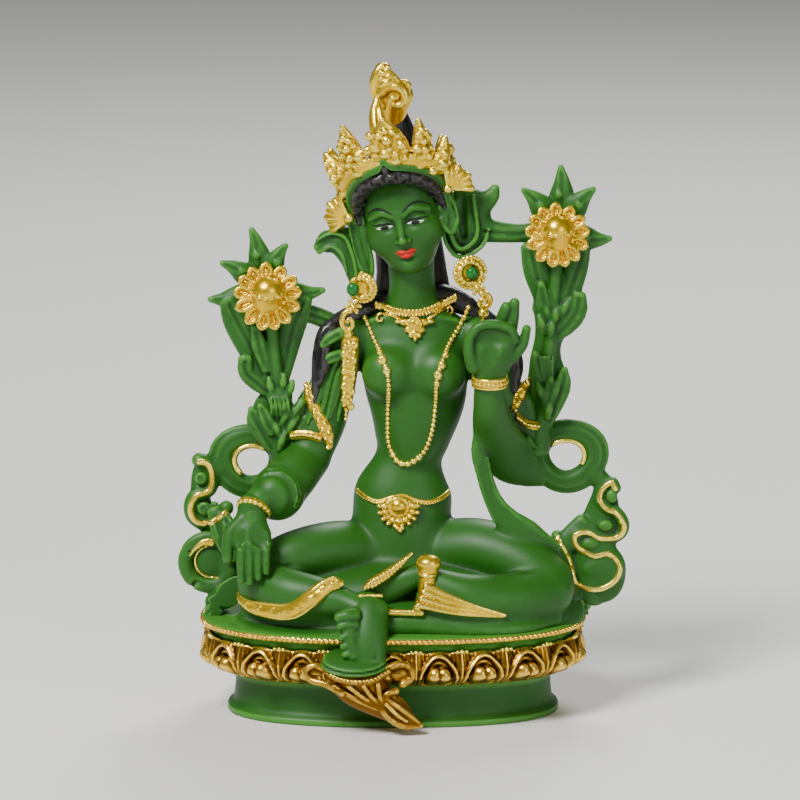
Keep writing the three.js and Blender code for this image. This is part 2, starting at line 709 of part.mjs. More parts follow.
// Gold hems of the skirt over both shins, and the folds of the skirt in front of them.
function hems() {
  return [
    limb([
      [-33.4, -11.6, 4, 1.8, 1.4],
      [-29, -16.6, 3, 2.1, 1.4],
      [-21, -19.8, 3, 2.1, 1.5],
      [-15.4, -21.6, 6, 2, 1.4],
      [-11.6, -20.4, 9.4, 1.8, 1.4],
    ], { steps: 5 }),
    limb([[7.8, -19.6, 14.6, 2.6, 2.2], [8, -20.4, 10, 2, 2]], { steps: 1 }),
    limb([[7, -21, 9, 3.4, 1.8], [14, -21.6, 6.4, 2.6, 1.8], [24, -20.4, 3.8, 0.9, 1]]),
    limb([
      [-6, -18.6, 9, 1.5, 1.2],
      [-1, -18.8, 12.4, 1.5, 1.2],
      [3.6, -18.6, 15.8, 1.1, 1],
    ], { steps: 2 }),
    limb([
      [-9, -14.5, 1.6, 4.6, 6],
      [2, -16.8, 2.2, 4.4, 6],
      [16, -17, 1.6, 4, 5],
    ], { sides: 6, steps: 2 }),
  ];
}

// The small lotus under the forward foot, with a pointed leaf that hangs down the plinth.
function footLotus() {
  const petalTip = (x) => blob([x, -30.4, -5.2], [2.3, 1.8, 2.5], { round: 6 });
  return [
    blob([-8, -29.5, -3.2], [7.4, 5.4, 2.8], { tilt: [10, 0, 0], round: 9 }),
    limb([
      [-7.4, -28, -6, 9, 5.6],
      [-6, -27.4, -9, 5.6, 4.6],
      [-2.6, -25.6, -13.6, 3.6, 3.4],
      [4.4, -22.6, -19, 1.4, 1.6],
    ], { sides: 7, steps: 4, blunt: false }),
    limb([
      [-2, -28.6, -12, 1.4, 1.4],
      [0.6, -28.2, -9.4, 1.6, 1.4],
      [3, -27.6, -11, 1.2, 1.2],
      [4.4, -25, -15, 1, 1.2],
    ], { sides: 4, steps: 4 }),
    petalTip(-15),
    petalTip(0.6),
  ];
}

// Everything is one casting, so the geometries are joined into one closed solid.
function cast() {
  const bodyParts = [torso, legs, feet, arms, hands];
  const dressParts = [locks, earRibbons, flowers, scarves, sleeveFall, jewellery, hems, footLotus];
  const headParts = [face, hair, crown];
  const figure = [...bodyParts, ...dressParts].flatMap((part) => part());
  const head = headParts.flatMap((part) => part()).map((geometry) => geometry.applyMatrix4(headFrame));
  const placed = [...figure, ...head].map((geometry) => geometry.applyMatrix4(figureFrame));
  const solids = [...plinth(), ...placed].map(solidOf);
  return geometryOf(solids.reduce((sum, next) => sum.add(next)));
}

function solidOf(geometry) {
  const bare = new THREE.BufferGeometry().setAttribute("position", geometry.getAttribute("position"));
  bare.setIndex(geometry.index);
  const merged = mergeVertices(bare, 1e-4);
  return new wasm.Manifold(
    new wasm.Mesh({
      numProp: 3,
      vertProperties: merged.attributes.position.array,
      triVerts: new Uint32Array(merged.index.array),
    }),
  );
}

function geometryOf(solid) {
  const { numProp, numVert, vertProperties, triVerts } = solid.getMesh();
  const positions = new Float32Array(numVert * 3);
  for (let i = 0; i < numVert; i++) {
    positions.set(vertProperties.subarray(i * numProp, i * numProp + 3), i * 3);
  }
  return new THREE.BufferGeometry()
    .setAttribute("position", new THREE.BufferAttribute(positions, 3))
    .setIndex(new THREE.BufferAttribute(triVerts, 1));
}

const group = new THREE.Group();
const castResin = new THREE.MeshStandardMaterial({ color: 0x2f7a33, roughness: 0.5, metalness: 0 });
const casting = new THREE.Mesh(cast(), castResin);
casting.name = "tara_casting";
group.add(casting);

export default group;
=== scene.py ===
"""A seated tara figurine of painted resin on an oval lotus plinth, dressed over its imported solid."""
import math

import bpy
import numpy as np
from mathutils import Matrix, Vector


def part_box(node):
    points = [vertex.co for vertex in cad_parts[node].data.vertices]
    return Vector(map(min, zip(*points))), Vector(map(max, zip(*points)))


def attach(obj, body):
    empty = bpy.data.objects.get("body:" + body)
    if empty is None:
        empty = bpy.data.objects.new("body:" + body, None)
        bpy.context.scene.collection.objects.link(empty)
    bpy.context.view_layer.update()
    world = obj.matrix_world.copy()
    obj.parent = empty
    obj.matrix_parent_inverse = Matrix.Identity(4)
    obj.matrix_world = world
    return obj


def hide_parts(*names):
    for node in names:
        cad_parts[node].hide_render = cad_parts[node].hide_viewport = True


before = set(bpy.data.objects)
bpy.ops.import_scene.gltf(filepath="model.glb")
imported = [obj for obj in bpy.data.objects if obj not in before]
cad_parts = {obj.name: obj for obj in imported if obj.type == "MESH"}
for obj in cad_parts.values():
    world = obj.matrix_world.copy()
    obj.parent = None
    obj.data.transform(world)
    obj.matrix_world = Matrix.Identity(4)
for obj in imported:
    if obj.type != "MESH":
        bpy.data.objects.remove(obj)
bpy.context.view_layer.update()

import openvdb
from mathutils import Matrix, Vector
from mathutils.bvhtree import BVHTree

NODE = "tara_casting"
CAST_HEIGHT = 149.92  # the casting's height in mm, as its source gives it
low_corner, high_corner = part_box(NODE)
MM = (high_corner.z - low_corner.z) / CAST_HEIGHT

# The plinth, in mm, from the floor up.
PLINTH_WIDTH = 88
PLINTH_DEPTH = 54
PLINTH_CORNER = 2.4
PLINTH_SIDES = 260  # points round the foot and the seat plate
FOOT_HEIGHT = 10.4
FOOT_INSET = 7.8
FOOT_LIP = 1.6
PETAL_TOP = 18.7
PETAL_COUNT = 22
PETAL_SHIFT = 0.5  # share of a petal by which the ring is turned
PETAL_STEPS = 34  # points across one petal
PETAL_LEVELS = 28  # points up one petal
DOT_STEPS = 20  # places across one petal where a dot can sit
NECK_INSET = 2.6
PLATE_LOW = 20.3
RIM_BEADS = 188
RIM_LEVEL = 21.2
RIM_INSET = 0.55
SEAT = 22

# The head's own frame in the figure's frame, in mm and degrees. The figure's frame starts on the seat.
HEAD_CENTRE = (2.5, 0, 92.1)
HEAD_ROLL, HEAD_NOD, HEAD_TURN = -13, 8, -8
HEAD_WIDEN = 1.05

ACROSS = np.array((1.0, 0.0, 0.0))
FRONT = np.array((0.0, -1.0, 0.0))
UP = np.array((0.0, 0.0, 1.0))
COARSE = 1.0
FAR = 9.0  # the distance that empty clay holds, in mm
MARGIN = 1.2  # how far past a shape and its blend the clay is worked, in mm
JOINT_CAP = 0.3  # how round a tube's inner joints are, as a share of its radius


# Curves and frames along them


def padded(rows):
    """Stations x, y, z, half width, half depth: a station with one radius is round."""
    return np.array([list(row) + [row[3]] if len(row) == 4 else list(row) for row in rows], float)


def through(rows, steps):
    """Points of a smooth curve through rows of numbers that start with x, y and z."""
    rows = np.array(rows, float)
    gaps = np.sqrt(np.linalg.norm(np.diff(rows[:, :3], axis=0), axis=1)) + 1e-6
    slopes = np.diff(rows, axis=0) / gaps[:, None]
    tangents = np.vstack([slopes[:1], slopes[-1:]])
    if len(rows) > 2:
        chords = (rows[2:] - rows[:-2]) / (gaps[1:] + gaps[:-1])[:, None]
        tangents = np.vstack([slopes[:1], slopes[:-1] - chords + slopes[1:], slopes[-1:]])
    t = np.linspace(0, 1, steps, endpoint=False)[:, None]
    spans = []
    for i, gap in enumerate(gaps):
        spans.append(
            (2 * t**3 - 3 * t**2 + 1) * rows[i]
            + (t**3 - 2 * t**2 + t) * tangents[i] * gap
            + (3 * t**2 - 2 * t**3) * rows[i + 1]
            + (t**3 - t**2) * tangents[i + 1] * gap
        )
    return np.vstack(spans + [rows[-1:]])


def evenly(path, pitch):
    """Points a pitch apart along a path."""
    path = np.array(path, float)
    lengths = np.concatenate([[0], np.cumsum(np.linalg.norm(np.diff(path[:, :3], axis=0), axis=1))])
    count = max(2, int(round(lengths[-1] / pitch)) + 1)
    wanted = np.linspace(0, lengths[-1], count)
    return np.stack([np.interp(wanted, lengths, path[:, k]) for k in range(path.shape[1])], axis=1)


def unit(rows):
    return rows / np.maximum(np.linalg.norm(rows, axis=-1, keepdims=True), 1e-9)


def axes_along(path, facing):
    """Unit tangent, side and depth directions at each point of a path. Facing is one direction or many."""
    along = unit(np.gradient(path[:, :3], axis=0))
    facing = np.broadcast_to(np.asarray(facing, float), along.shape)
    side = unit(np.cross(along, facing))
    return along, side, np.cross(along, side)


def mirrored(rows):
    return [[-row[0], *row[1:]] for row in rows]


def arch(half):
    """Rows from one side to the other, mirrored about the last row."""
    return half + mirrored(half[:-1])[::-1]


def thick(path, *radii):
    """Gives every point of a path the same half width and half depth."""
    return [[*point[:3], *radii] for point in path]


def sized(places, *sizes):
    """A tube's stations, from places and a size for each."""
    return [[*place, size] for place, size in zip(places, sizes)]


def spoke(turn, across, rise):
    """The direction at a turn from across towards rise."""
    return math.cos(turn) * across + math.sin(turn) * rise


def plane(facing):
    """The directions across and up a plane, and the direction it looks in."""
    facing = unit(np.array(facing, float))
    across = unit(np.cross(UP, facing))
    return across, np.cross(facing, across), facing


def circle(centre, facing, radius, start=0, end=360, count=17):
    """Points round a circle on a plane that looks along facing, from one angle to another."""
    across, rise, _ = plane(facing)
    turns = np.radians(np.linspace(start, end, count))[:, None]
    return np.array(centre) + radius * (np.cos(turns) * across + np.sin(turns) * rise)


# Clay: a block of distances that shapes are pressed into, then turned into a mesh


class Clay:
    """A block of cells that hold the distance to the nearest surface, in mm, below zero inside."""

    def __init__(self, low, high, cell):
        self.cell = cell * COARSE
        self.low = np.array(low, float)
        self.size = np.ceil((np.array(high, float) - self.low) / self.cell).astype(int) + 1
        self.field = np.full(self.size, FAR, np.float32)

    def window(self, low, high):
        """The cells inside a box, and the x, y and z of their places."""
        first = np.clip(np.floor((low - self.low) / self.cell).astype(int), 0, self.size)
        last = np.clip(np.ceil((high - self.low) / self.cell).astype(int) + 1, 0, self.size)
        x, y, z = (
            (self.low[k] + self.cell * np.arange(first[k], last[k])).astype(np.float32) for k in range(3)
        )
        return tuple(map(slice, first, last)), x[:, None, None], y[None, :, None], z[None, None, :]

    def press(self, block, new, blend, cut):
        """Joins a shape's distances smoothly to the clay, or takes the shape out of it."""
        sign = -1 if cut else 1
        old = self.field[block] * sign
        share = np.clip(0.5 + 0.5 * (old - new) / blend, 0, 1)
        self.field[block] = sign * (old + (new - old) * share - blend * share * (1 - share))

    def tube(self, rows, blend=0.6, facing=FRONT, steps=4, cut=False):
        """A tube through stations, whose half widths lie across facing and half depths along it."""
        path = through(padded(rows), steps)
        _, side, depth = axes_along(path, facing)
        own = np.full(self.size, FAR, np.float32)
        for i in range(len(path) - 1):
            ends = (1 if i == 0 else JOINT_CAP, 1 if i == len(path) - 2 else JOINT_CAP)
            self.span(own, path[i], path[i + 1], side[i] + side[i + 1], depth[i] + depth[i + 1], ends, blend)
        reach = path[:, 3:].max() + blend + MARGIN
        block = self.window(path[:, :3].min(0) - reach, path[:, :3].max(0) + reach)[0]
        self.press(block, own[block], blend, cut)

    def span(self, own, start, end, side, depth, ends, blend):
        """Distances to one stretch of a tube, a cone with an oval section and rounded ends."""
        reach = max(start[3:].max(), end[3:].max()) + blend + MARGIN
        low = np.minimum(start[:3], end[:3]) - reach
        high = np.maximum(start[:3], end[:3]) + reach
        block, x, y, z = self.window(low, high)
        x, y, z = x - start[0], y - start[1], z - start[2]
        run = end[:3] - start[:3]
        length = np.linalg.norm(run)
        share = np.clip((x * run[0] + y * run[1] + z * run[2]) / length**2, 0, 1)
        x, y, z = x - share * run[0], y - share * run[1], z - share * run[2]
        wide = start[3] + share * (end[3] - start[3])
        deep = start[4] + share * (end[4] - start[4])
        across, inward, along = (
            x * way[0] + y * way[1] + z * way[2] for way in (unit(side), unit(depth), run / length)
        )
        thin = np.minimum(wide, deep) * np.where(along < 0, ends[0], ends[1])
        ratio = np.sqrt((across / wide) ** 2 + (inward / deep) ** 2 + (along / thin) ** 2) + 1e-5
        size = np.sqrt(across**2 + inward**2 + along**2)
        own[block] = np.minimum(own[block], size - size / ratio)

    def ball(self, centre, radii, tilt=(0, 0, 0), blend=0.6, cut=False):
        """An oval ball, turned by degrees about X, Y and Z."""
        centre, radii = np.array(centre, float), np.broadcast_to(np.array(radii, float), 3)
        reach = radii.max() + blend + MARGIN
        block, x, y, z = self.window(centre - reach, centre + reach)
        if x.size and y.size and z.size:
            turn = euler(tilt)
            x, y, z = x - centre[0], y - centre[1], z - centre[2]
            local = [x * turn[0, k] + y * turn[1, k] + z * turn[2, k] for k in range(3)]
            ratio = np.sqrt(sum((p / r) ** 2 for p, r in zip(local, radii))) + 1e-5
            size = np.sqrt(sum(p**2 for p in local))
            self.press(block, size - size / ratio, blend, cut)

    def tubes(self, paths, **options):
        for rows in paths:
            self.tube(rows, **options)

    def strip(self, line, deep, blend=0.1, facing=FRONT):
        """A strip of one half depth along a ready line of x, y, z and half width."""
        self.tube([[*row, deep] for row in line], blend=blend, facing=facing, steps=1)

    def beads(self, path, radius, pitch, blend=0.15):
        """Beads a pitch apart along a path."""
        for place in evenly(path, pitch)[:, :3]:
            self.ball(place, radius, blend=blend)

    def mesh(self):
        """Points in mm and the quads and triangles of the clay's surface, facing out."""
        grid = openvdb.FloatGrid(FAR)
        grid.copyFromArray(self.field)
        points, triangles, quads = grid.convertToPolygons(0.0, 0.0)
        points = np.asarray(points, float) * self.cell + self.low
        faces = [np.asarray(f) for f in (quads, triangles) if len(f)]
        return points, faces


def euler(tilt):
    """The turn by some degrees about X, Y and Z."""
    turn = Matrix.Identity(3)
    for angle, axis in zip(tilt, "XYZ"):
        turn = Matrix.Rotation(math.radians(angle), 3, axis) @ turn
    return np.array(turn)


# Piles: meshes made of many small closed shapes


def ball_mesh(rings=6, sides=10):
    """A unit ball's points and faces, with one point at each pole."""
    points = [(0, 0, 1)]
    for i in range(1, rings):
        high = math.pi * i / rings
        for k in range(sides):
            turn = 2 * math.pi * k / sides
            points.append((math.sin(high) * math.cos(turn), math.sin(high) * math.sin(turn), math.cos(high)))
    points.append((0, 0, -1))

    def at(ring, k):
        return 1 + ring * sides + k % sides

    quads = []
    for i in range(rings - 2):
        quads += [(at(i, k), at(i + 1, k), at(i + 1, k + 1), at(i, k + 1)) for k in range(sides)]
    ends = [(0, at(0, k), at(0, k + 1)) for k in range(sides)]
    ends += [(len(points) - 1, at(rings - 2, k + 1), at(rings - 2, k)) for k in range(sides)]
    return np.array(points, float), [np.array(quads), np.array(ends)]


BALL = ball_mesh()
SMALL_BALL = ball_mesh(5, 8)


# A tube's rounded ends: how far along its axis each ring lies, and its size, as shares of the radius
FIRST_END = ((-0.92, 0.4), (-0.6, 0.8), (0, 1))
LAST_END = ((0, 1), (0.6, 0.8), (0.92, 0.4))
TUBE_SIDES = 8


class Pile:
    """Closed shapes that lie side by side in one mesh."""

    def __init__(self):
        self.points, self.faces, self.count = [], {3: [], 4: []}, 0

    def add(self, points, faces):
        for face in faces:
            self.faces[face.shape[1]].append(face + self.count)
        self.points.append(points)
        self.count += len(points)

    def ball(self, centre, radii, shape=BALL):
        self.add(shape[0] * np.broadcast_to(np.array(radii, float), 3) + np.array(centre), shape[1])

    def beads(self, path, radius, pitch):
        for place in evenly(path, pitch)[:, :3]:
            self.ball(place, radius, shape=SMALL_BALL)

    def tube(self, rows):
        """A closed tube through ready rows, with rounded ends."""
        path = padded(rows)
        along, side, depth = axes_along(path, FRONT)
        turns = np.arange(TUBE_SIDES) / TUBE_SIDES * 2 * np.pi
        rings = []
        for i, (x, y, z, wide, deep) in enumerate(path):
            for back, shrink in FIRST_END if i == 0 else LAST_END if i == len(path) - 1 else ((0, 1),):
                centre = np.array((x, y, z)) + along[i] * back * min(wide, deep)
                ring = np.outer(np.cos(turns) * wide * shrink, side[i])
                rings.append(centre + ring + np.outer(np.sin(turns) * deep * shrink, depth[i]))
        self.loft(rings)

    def loft(self, rings):
        """Closes a row of rings of equal count with a fan at each end."""
        sides, count = len(rings[0]), len(rings)
        points = np.vstack([rings[0].mean(0)] + list(rings) + [rings[-1].mean(0)])
        k = 1 + np.arange(sides)
        beside = 1 + k % sides
        lows = [row * sides for row in range(count - 1)]
        quads = [np.stack([low + k, low + beside, low + sides + beside, low + sides + k], 1) for low in lows]
        last = (count - 1) * sides
        ends = [
            np.stack([np.zeros_like(k), beside, k], 1),
            np.stack([np.full_like(k, len(points) - 1), last + k, last + beside], 1),
        ]
        faces = [np.vstack(quads), np.vstack(ends)]
        if volume(points, faces) < 0:
            faces = [face[:, ::-1] for face in faces]
        self.add(points, faces)

    def mesh(self):
        return np.vstack(self.points), [np.vstack(faces) for faces in self.faces.values() if faces]


def volume(points, faces):
    """Six times the volume inside closed faces, below zero where they face in."""
    total = 0
    for face in faces:
        for k in range(1, face.shape[1] - 1):
            a, b, c = points[face[:, 0]], points[face[:, k]], points[face[:, k + 1]]
            total += np.einsum("ij,ij->i", a, np.cross(b, c)).sum()
    return total


# From shapes to pieces


def figure_place(points):
    """From the figure's frame, in mm, to the row frame in metres."""
    return (points + np.array((0, 0, SEAT))) * MM


def head_place(points):
    """From the head's own frame, in mm, to the row frame in metres."""
    turn = Matrix.Identity(3)
    for degrees, axis in ((HEAD_ROLL, "Y"), (HEAD_NOD, "X"), (HEAD_TURN, "Z")):
        turn = turn @ Matrix.Rotation(math.radians(degrees), 3, axis)
    return figure_place(points * (HEAD_WIDEN, 1, 1) @ np.array(turn).T + np.array(HEAD_CENTRE))


def plinth_place(points):
    return points * MM


def turned_place(centre, facing):
    """Places a shape that looks along -Y so that it looks along facing from a place in the figure's frame."""
    across, rise, facing = plane(facing)
    frame_of = np.stack([across, -facing, rise])
    return lambda points: figure_place(points @ frame_of + np.array(centre))


def neighbour_means(points, edges):
    """The mean place of every point's neighbours."""
    a, b = edges
    degree = np.maximum(np.bincount(np.r_[a, b], minlength=len(points)), 1)[:, None]
    total = [np.bincount(np.r_[a, b], np.r_[points[b, k], points[a, k]], len(points)) for k in range(3)]
    return np.stack(total, 1) / degree


def edges_of(mesh):
    edges = np.empty(len(mesh.edges) * 2, np.int32)
    mesh.edges.foreach_get("vertices", edges)
    return edges.reshape(-1, 2).T


def mark_hollows(points, mesh, reach, rounds):
    """Stores how deep each point lies between its neighbours: 0.5 is flat, 1 is deep, 0 is a ridge. The
    paints turn it into painted highlight on ridges and painted shade in hollows.
    """
    edges = edges_of(mesh)
    smooth = points
    for _ in range(rounds):
        smooth = neighbour_means(smooth, edges)
    normals = np.empty(len(points) * 3, np.float32)
    mesh.vertices.foreach_get("normal", normals)
    depth = ((smooth - points) * normals.reshape(-1, 3)).sum(1) / (reach * MM)
    layer = mesh.attributes.new("hollow", "FLOAT", "POINT")
    layer.data.foreach_set("value", np.clip(0.5 + 0.5 * depth, 0, 1).astype(np.float32))


def piece(name, shape, material, place=figure_place, reach=0.16, rounds=4, smooth=0):
    """Makes a piece of the scene from a clay or a pile, and rides it on the casting's body."""
    points, faces = shape.mesh()
    points = place(points)
    mesh = bpy.data.meshes.new(name)
    counts = np.concatenate([np.full(len(face), face.shape[1]) for face in faces])
    corners = np.concatenate([face.ravel() for face in faces]).astype(np.int32)
    mesh.vertices.add(len(points))
    mesh.vertices.foreach_set("co", points.astype(np.float32).ravel())
    mesh.loops.add(len(corners))
    mesh.loops.foreach_set("vertex_index", corners)
    mesh.polygons.add(len(counts))
    mesh.polygons.foreach_set("loop_start", (np.cumsum(counts) - counts).astype(np.int32))
    mesh.update(calc_edges=True)
    mesh.polygons.foreach_set("use_smooth", np.ones(len(counts), bool))
    for _ in range(smooth):
        points = 0.4 * points + 0.6 * neighbour_means(points, edges_of(mesh))
    mesh.vertices.foreach_set("co", points.astype(np.float32).ravel())
    mesh.update()
    # The hollow values that the paints turn into painted highlight and painted shade; reach sets how deep a
    # hollow must be for full shade, rounds how wide a hollow counts
    mark_hollows(points, mesh, reach, rounds)
    mesh.materials.append(material)
    made = bpy.data.objects.new(name, mesh)
    bpy.context.scene.collection.objects.link(made)
    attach(made, "root")
    return made


IN_FRONT = -60  # a y in mm, in front of all shapes


def surface_of(*clays):
    """A lookup of the surface of some clays, in their own frame, for what lies on them."""
    points, faces, count = [], [], 0
    for clay in clays:
        own, own_faces = clay.mesh()
        points += own.tolist()
        faces += [tuple(corner + count for corner in face) for block in own_faces for face in block.tolist()]
        count += len(own)
    return BVHTree.FromPolygons(points, faces)


def lay(surface, places, lift=0.0):
    """Rows that start with x and z, laid on the front of a surface: rows of x, y and z, then the rest."""
    laid = []
    for x, z, *rest in places:
        hit = surface.ray_cast(Vector((x, IN_FRONT, z)), Vector((0, 1, 0)))[0]
        laid.append([x, (hit.y if hit else 0) - lift, z, *rest])
    return np.array(laid)


def lay_spot(surface, x, z, lift):
    """One place on the front of a surface."""
    return lay(surface, [[x, z]], lift)[0]


def flat_curve(places, steps=6):
    """A smooth curve through rows that start with x and z."""
    rows = through([[x, 0, z, *rest] for x, z, *rest in places], steps)
    return np.delete(rows, 1, axis=1)


# Shapes that several pieces share

ROSETTE_PETALS = 6
SCROLL_SHRINK, SCROLL_THIN = 0.82, 0.35  # what a scroll loses of its reach and thickness


def blade(clay, rows, groove=0.4, blend=0.4):
    """A leaf or a fold with a groove down the middle of its front."""
    clay.tube(rows, blend=blend)
    path = through(padded(rows), 4)
    line = [[*(row[:3] + FRONT * row[4]), groove * min(1, row[3] / 1.5)] for row in path[1:-1]]
    clay.tube(line, blend=0.4, steps=1, cut=True)


def spiral(clay, centre, facing, start, radius, turns, size, hand=1, squash=1.0):
    """A raised scroll that winds in to a point, on a plane that looks along facing."""
    across, rise, facing = plane(facing)
    rows = []
    for share in np.linspace(0, 1, int(14 * turns) + 4):
        turn = math.radians(start) + hand * share * turns * 2 * math.pi
        reach = radius * (1 - SCROLL_SHRINK * share)
        place = np.array(centre) + spoke(turn, across, squash * rise) * reach
        rows.append([*(place + facing * share * size), size * (1 - SCROLL_THIN * share)])
    clay.tube(rows, blend=0.12, steps=1, facing=facing)


def rosette(clay, centre, radius):
    """A flat flower that looks forward, with a ring of beads round its middle."""
    centre = np.array(centre, float)
    across, rise, facing = plane(FRONT)
    for k in range(ROSETTE_PETALS):
        turn = 2 * math.pi * k / ROSETTE_PETALS
        out = spoke(turn, across, rise)
        petal = (centre + out * radius * 0.45, centre + out * radius * 0.8)
        clay.tube(sized(petal, radius * 0.16, radius * 0.24), blend=0.12, facing=facing)
        between = spoke(turn + 0.4, across, rise)
        clay.ball(centre + between * radius * 0.66 + facing * 0.15, radius * 0.13, blend=0.1)
    ring = circle(centre + facing * radius * 0.14, facing, radius * 0.4)
    clay.beads(ring, radius * 0.1, radius * 0.18, 0.06)
    clay.ball(centre + facing * radius * 0.18, radius * 0.3, blend=0.1)


# Materials


def node(tree, kind, **values):
    made = tree.nodes.new(kind)
    for name, value in values.items():
        made.inputs[name].default_value = value
    return made


def ramp(tree, source, stops):
    """Colours at some places between 0 and 1, read at a value."""
    made = tree.nodes.new("ShaderNodeValToRGB")
    while len(made.color_ramp.elements) < len(stops):
        made.color_ramp.elements.new(0.5)
    for element, (position, colour) in zip(made.color_ramp.elements, stops):
        element.position = position
        element.color = (*colour, 1)
    tree.links.new(source, made.inputs["Fac"])
    return made


SHEEN = 0.32  # how strongly the paints mirror
STROKE_SCALE = 260  # brush strokes and grains per metre, about
GRAIN_SCALE = 1500
GRAIN_HEIGHT = 0.0002  # in metres
GLOSS_SPREAD = (-0.08, 0.14)  # what ridges and hollows add to the roughness
# Where a paint's colours sit, from 0 on a ridge to 1 in a hollow: the lighter ridge colour is painted
# highlight, the darker deep colour is painted shade
RIDGE_AT, FLAT_FROM, FLAT_TO, DEEP_AT = 0.12, 0.42, 0.58, 0.92


def paint(name, ridge, flat, deep, rough, grain, metal=0.0, patch=0.25):
    """Paint that is brighter on ridges as painted highlight and darker in hollows as painted shade, with
    uneven strokes and a fine grain.
    """
    material = bpy.data.materials.new(name)
    material.use_nodes = True
    tree = material.node_tree
    shader = tree.nodes["Principled BSDF"]
    shader.inputs["Metallic"].default_value = metal
    shader.inputs["Specular IOR Level"].default_value = SHEEN
    place = tree.nodes.new("ShaderNodeTexCoord").outputs["Object"]
    hollow = tree.nodes.new("ShaderNodeAttribute")
    hollow.attribute_name = "hollow"
    strokes = node(tree, "ShaderNodeTexNoise", Scale=STROKE_SCALE, Detail=4, Roughness=0.6)
    tree.links.new(place, strokes.inputs["Vector"])
    offset = node(tree, "ShaderNodeMath")
    offset.operation = "MULTIPLY_ADD"
    offset.inputs[1].default_value = patch
    offset.inputs[2].default_value = -patch / 2
    tree.links.new(strokes.outputs["Fac"], offset.inputs[0])
    level = node(tree, "ShaderNodeMath")
    tree.links.new(hollow.outputs["Fac"], level.inputs[0])
    tree.links.new(offset.outputs[0], level.inputs[1])
    # Painted highlight on ridges and painted shade in hollows, read from the hollow value
    stops = [(RIDGE_AT, ridge), (FLAT_FROM, flat), (FLAT_TO, flat), (DEEP_AT, deep)]
    colours = ramp(tree, level.outputs[0], stops)
    tree.links.new(colours.outputs["Color"], shader.inputs["Base Color"])
    gloss = node(tree, "ShaderNodeMapRange")
    gloss.inputs["To Min"].default_value = rough + GLOSS_SPREAD[0]
    gloss.inputs["To Max"].default_value = rough + GLOSS_SPREAD[1]
    tree.links.new(level.outputs[0], gloss.inputs["Value"])
    tree.links.new(gloss.outputs["Result"], shader.inputs["Roughness"])
    fine = node(tree, "ShaderNodeTexNoise", Scale=GRAIN_SCALE, Detail=3, Roughness=0.6)
    tree.links.new(place, fine.inputs["Vector"])
    bump = node(tree, "ShaderNodeBump", Strength=grain, Distance=GRAIN_HEIGHT)
    tree.links.new(fine.outputs["Fac"], bump.inputs["Height"])
    tree.links.new(bump.outputs["Normal"], shader.inputs["Normal"])
    return material


# Each paint: a lighter colour for ridges, which is painted highlight, its own colour for flat ground, a
# darker colour for hollows, which is painted shade, then its roughness
GREEN = paint(
    "green_paint", (0.05, 0.2, 0.02), (0.011, 0.084, 0.004), (0.002, 0.022, 0.001), 0.48,
    grain=0.14, patch=0.2,
)
SKIN = paint(
    "skin_paint", (0.035, 0.17, 0.015), (0.012, 0.085, 0.004), (0.003, 0.032, 0.001), 0.46,
    grain=0.08, patch=0.14,
)
GOLD = paint(
    "gold_paint", (1.0, 0.83, 0.15), (0.77, 0.5, 0.018), (0.13, 0.048, 0.001), 0.27,
    metal=0.9, grain=0.35, patch=0.3,
)
# A darker gold for the petals, the seat's beads and the foot's cup, with painted highlight on its ridges and
# painted shade in its hollows
DARK_GOLD = paint(
    "dark_gold_paint", (1.0, 0.66, 0.09), (0.2, 0.085, 0.003), (0.012, 0.004, 0.0004), 0.28,
    metal=0.9, grain=0.35,
)
STONE = paint(
    "stone_paint", (0.008, 0.12, 0.015), (0.005, 0.07, 0.008), (0.002, 0.025, 0.003), 0.25, grain=0.1
)
RED = paint(
    "red_paint", (0.52, 0.025, 0.01), (0.46, 0.011, 0.005), (0.2, 0.005, 0.004), 0.4, grain=0.1, patch=0.15
)
WHITE = paint(
    "white_paint", (0.85, 0.85, 0.82), (0.8, 0.8, 0.76), (0.5, 0.5, 0.48), 0.4, grain=0.1, patch=0.1
)
BLACK = paint(
    "black_paint", (0.034, 0.031, 0.03), (0.006, 0.006, 0.007), (0.002, 0.002, 0.002), 0.27, grain=0.3
)
LINE = paint(
    "line_paint", (0.003, 0.004, 0.003), (0.003, 0.004, 0.003), (0.002, 0.003, 0.002), 0.6, grain=0.1
)


# The plinth


def oval(shares, inset):
    """Points of the plinth's outline, taken in by an inset."""
    angle = np.asarray(shares) * 2 * np.pi
    c, s = np.cos(angle), np.sin(angle)
    x = np.sign(c) * np.abs(c) ** (2 / PLINTH_CORNER) * (PLINTH_WIDTH / 2 - inset)
    y = np.sign(s) * np.abs(s) ** (2 / PLINTH_CORNER) * (PLINTH_DEPTH / 2 - inset)
    return x, y


def even_shares(count):
    """Shares of the turn that step evenly along the outline, the first at the side."""
    fine = np.linspace(0, 1, 2881)
    x, y = oval(fine, 0)
    lengths = np.concatenate([[0], np.cumsum(np.hypot(np.diff(x), np.diff(y)))])
    return np.interp(np.arange(count) / count * lengths[-1], lengths, fine)


def oval_rings(levels, count):
    """The plinth's outline at a row of heights and insets."""
    shares = even_shares(count)
    rings = []
    for height, inset in levels:
        x, y = oval(shares, inset)
        rings.append(np.stack([x, y, np.broadcast_to(height, x.shape)], 1))
    return rings


def profile(points, steps):
    """Height and inset pairs on a smooth curve through a few of them."""
    rows = [(inset, 0, height) for height, inset in points]
    return [(z, x) for x, _, z in through(rows, steps)]


def plinth_foot():
    pile = Pile()
    lip = FOOT_INSET - FOOT_LIP
    edge = [(0, lip + 0.4), (0.25, lip), (1.1, lip), (1.5, lip + 0.2), (1.9, lip + 0.8),
            (2.4, FOOT_INSET - 0.3)]
    wall = [(3.2, FOOT_INSET - 0.1), (6.5, FOOT_INSET + 0.2), (FOOT_HEIGHT + 1.2, FOOT_INSET + 0.1)]
    pile.loft(oval_rings(edge + profile(wall, 4), PLINTH_SIDES))
    return pile


LOBE_HEIGHT = 2.3
PETAL_SUNK = 0.55  # how far the ring lies back, and the petals' fields as far again


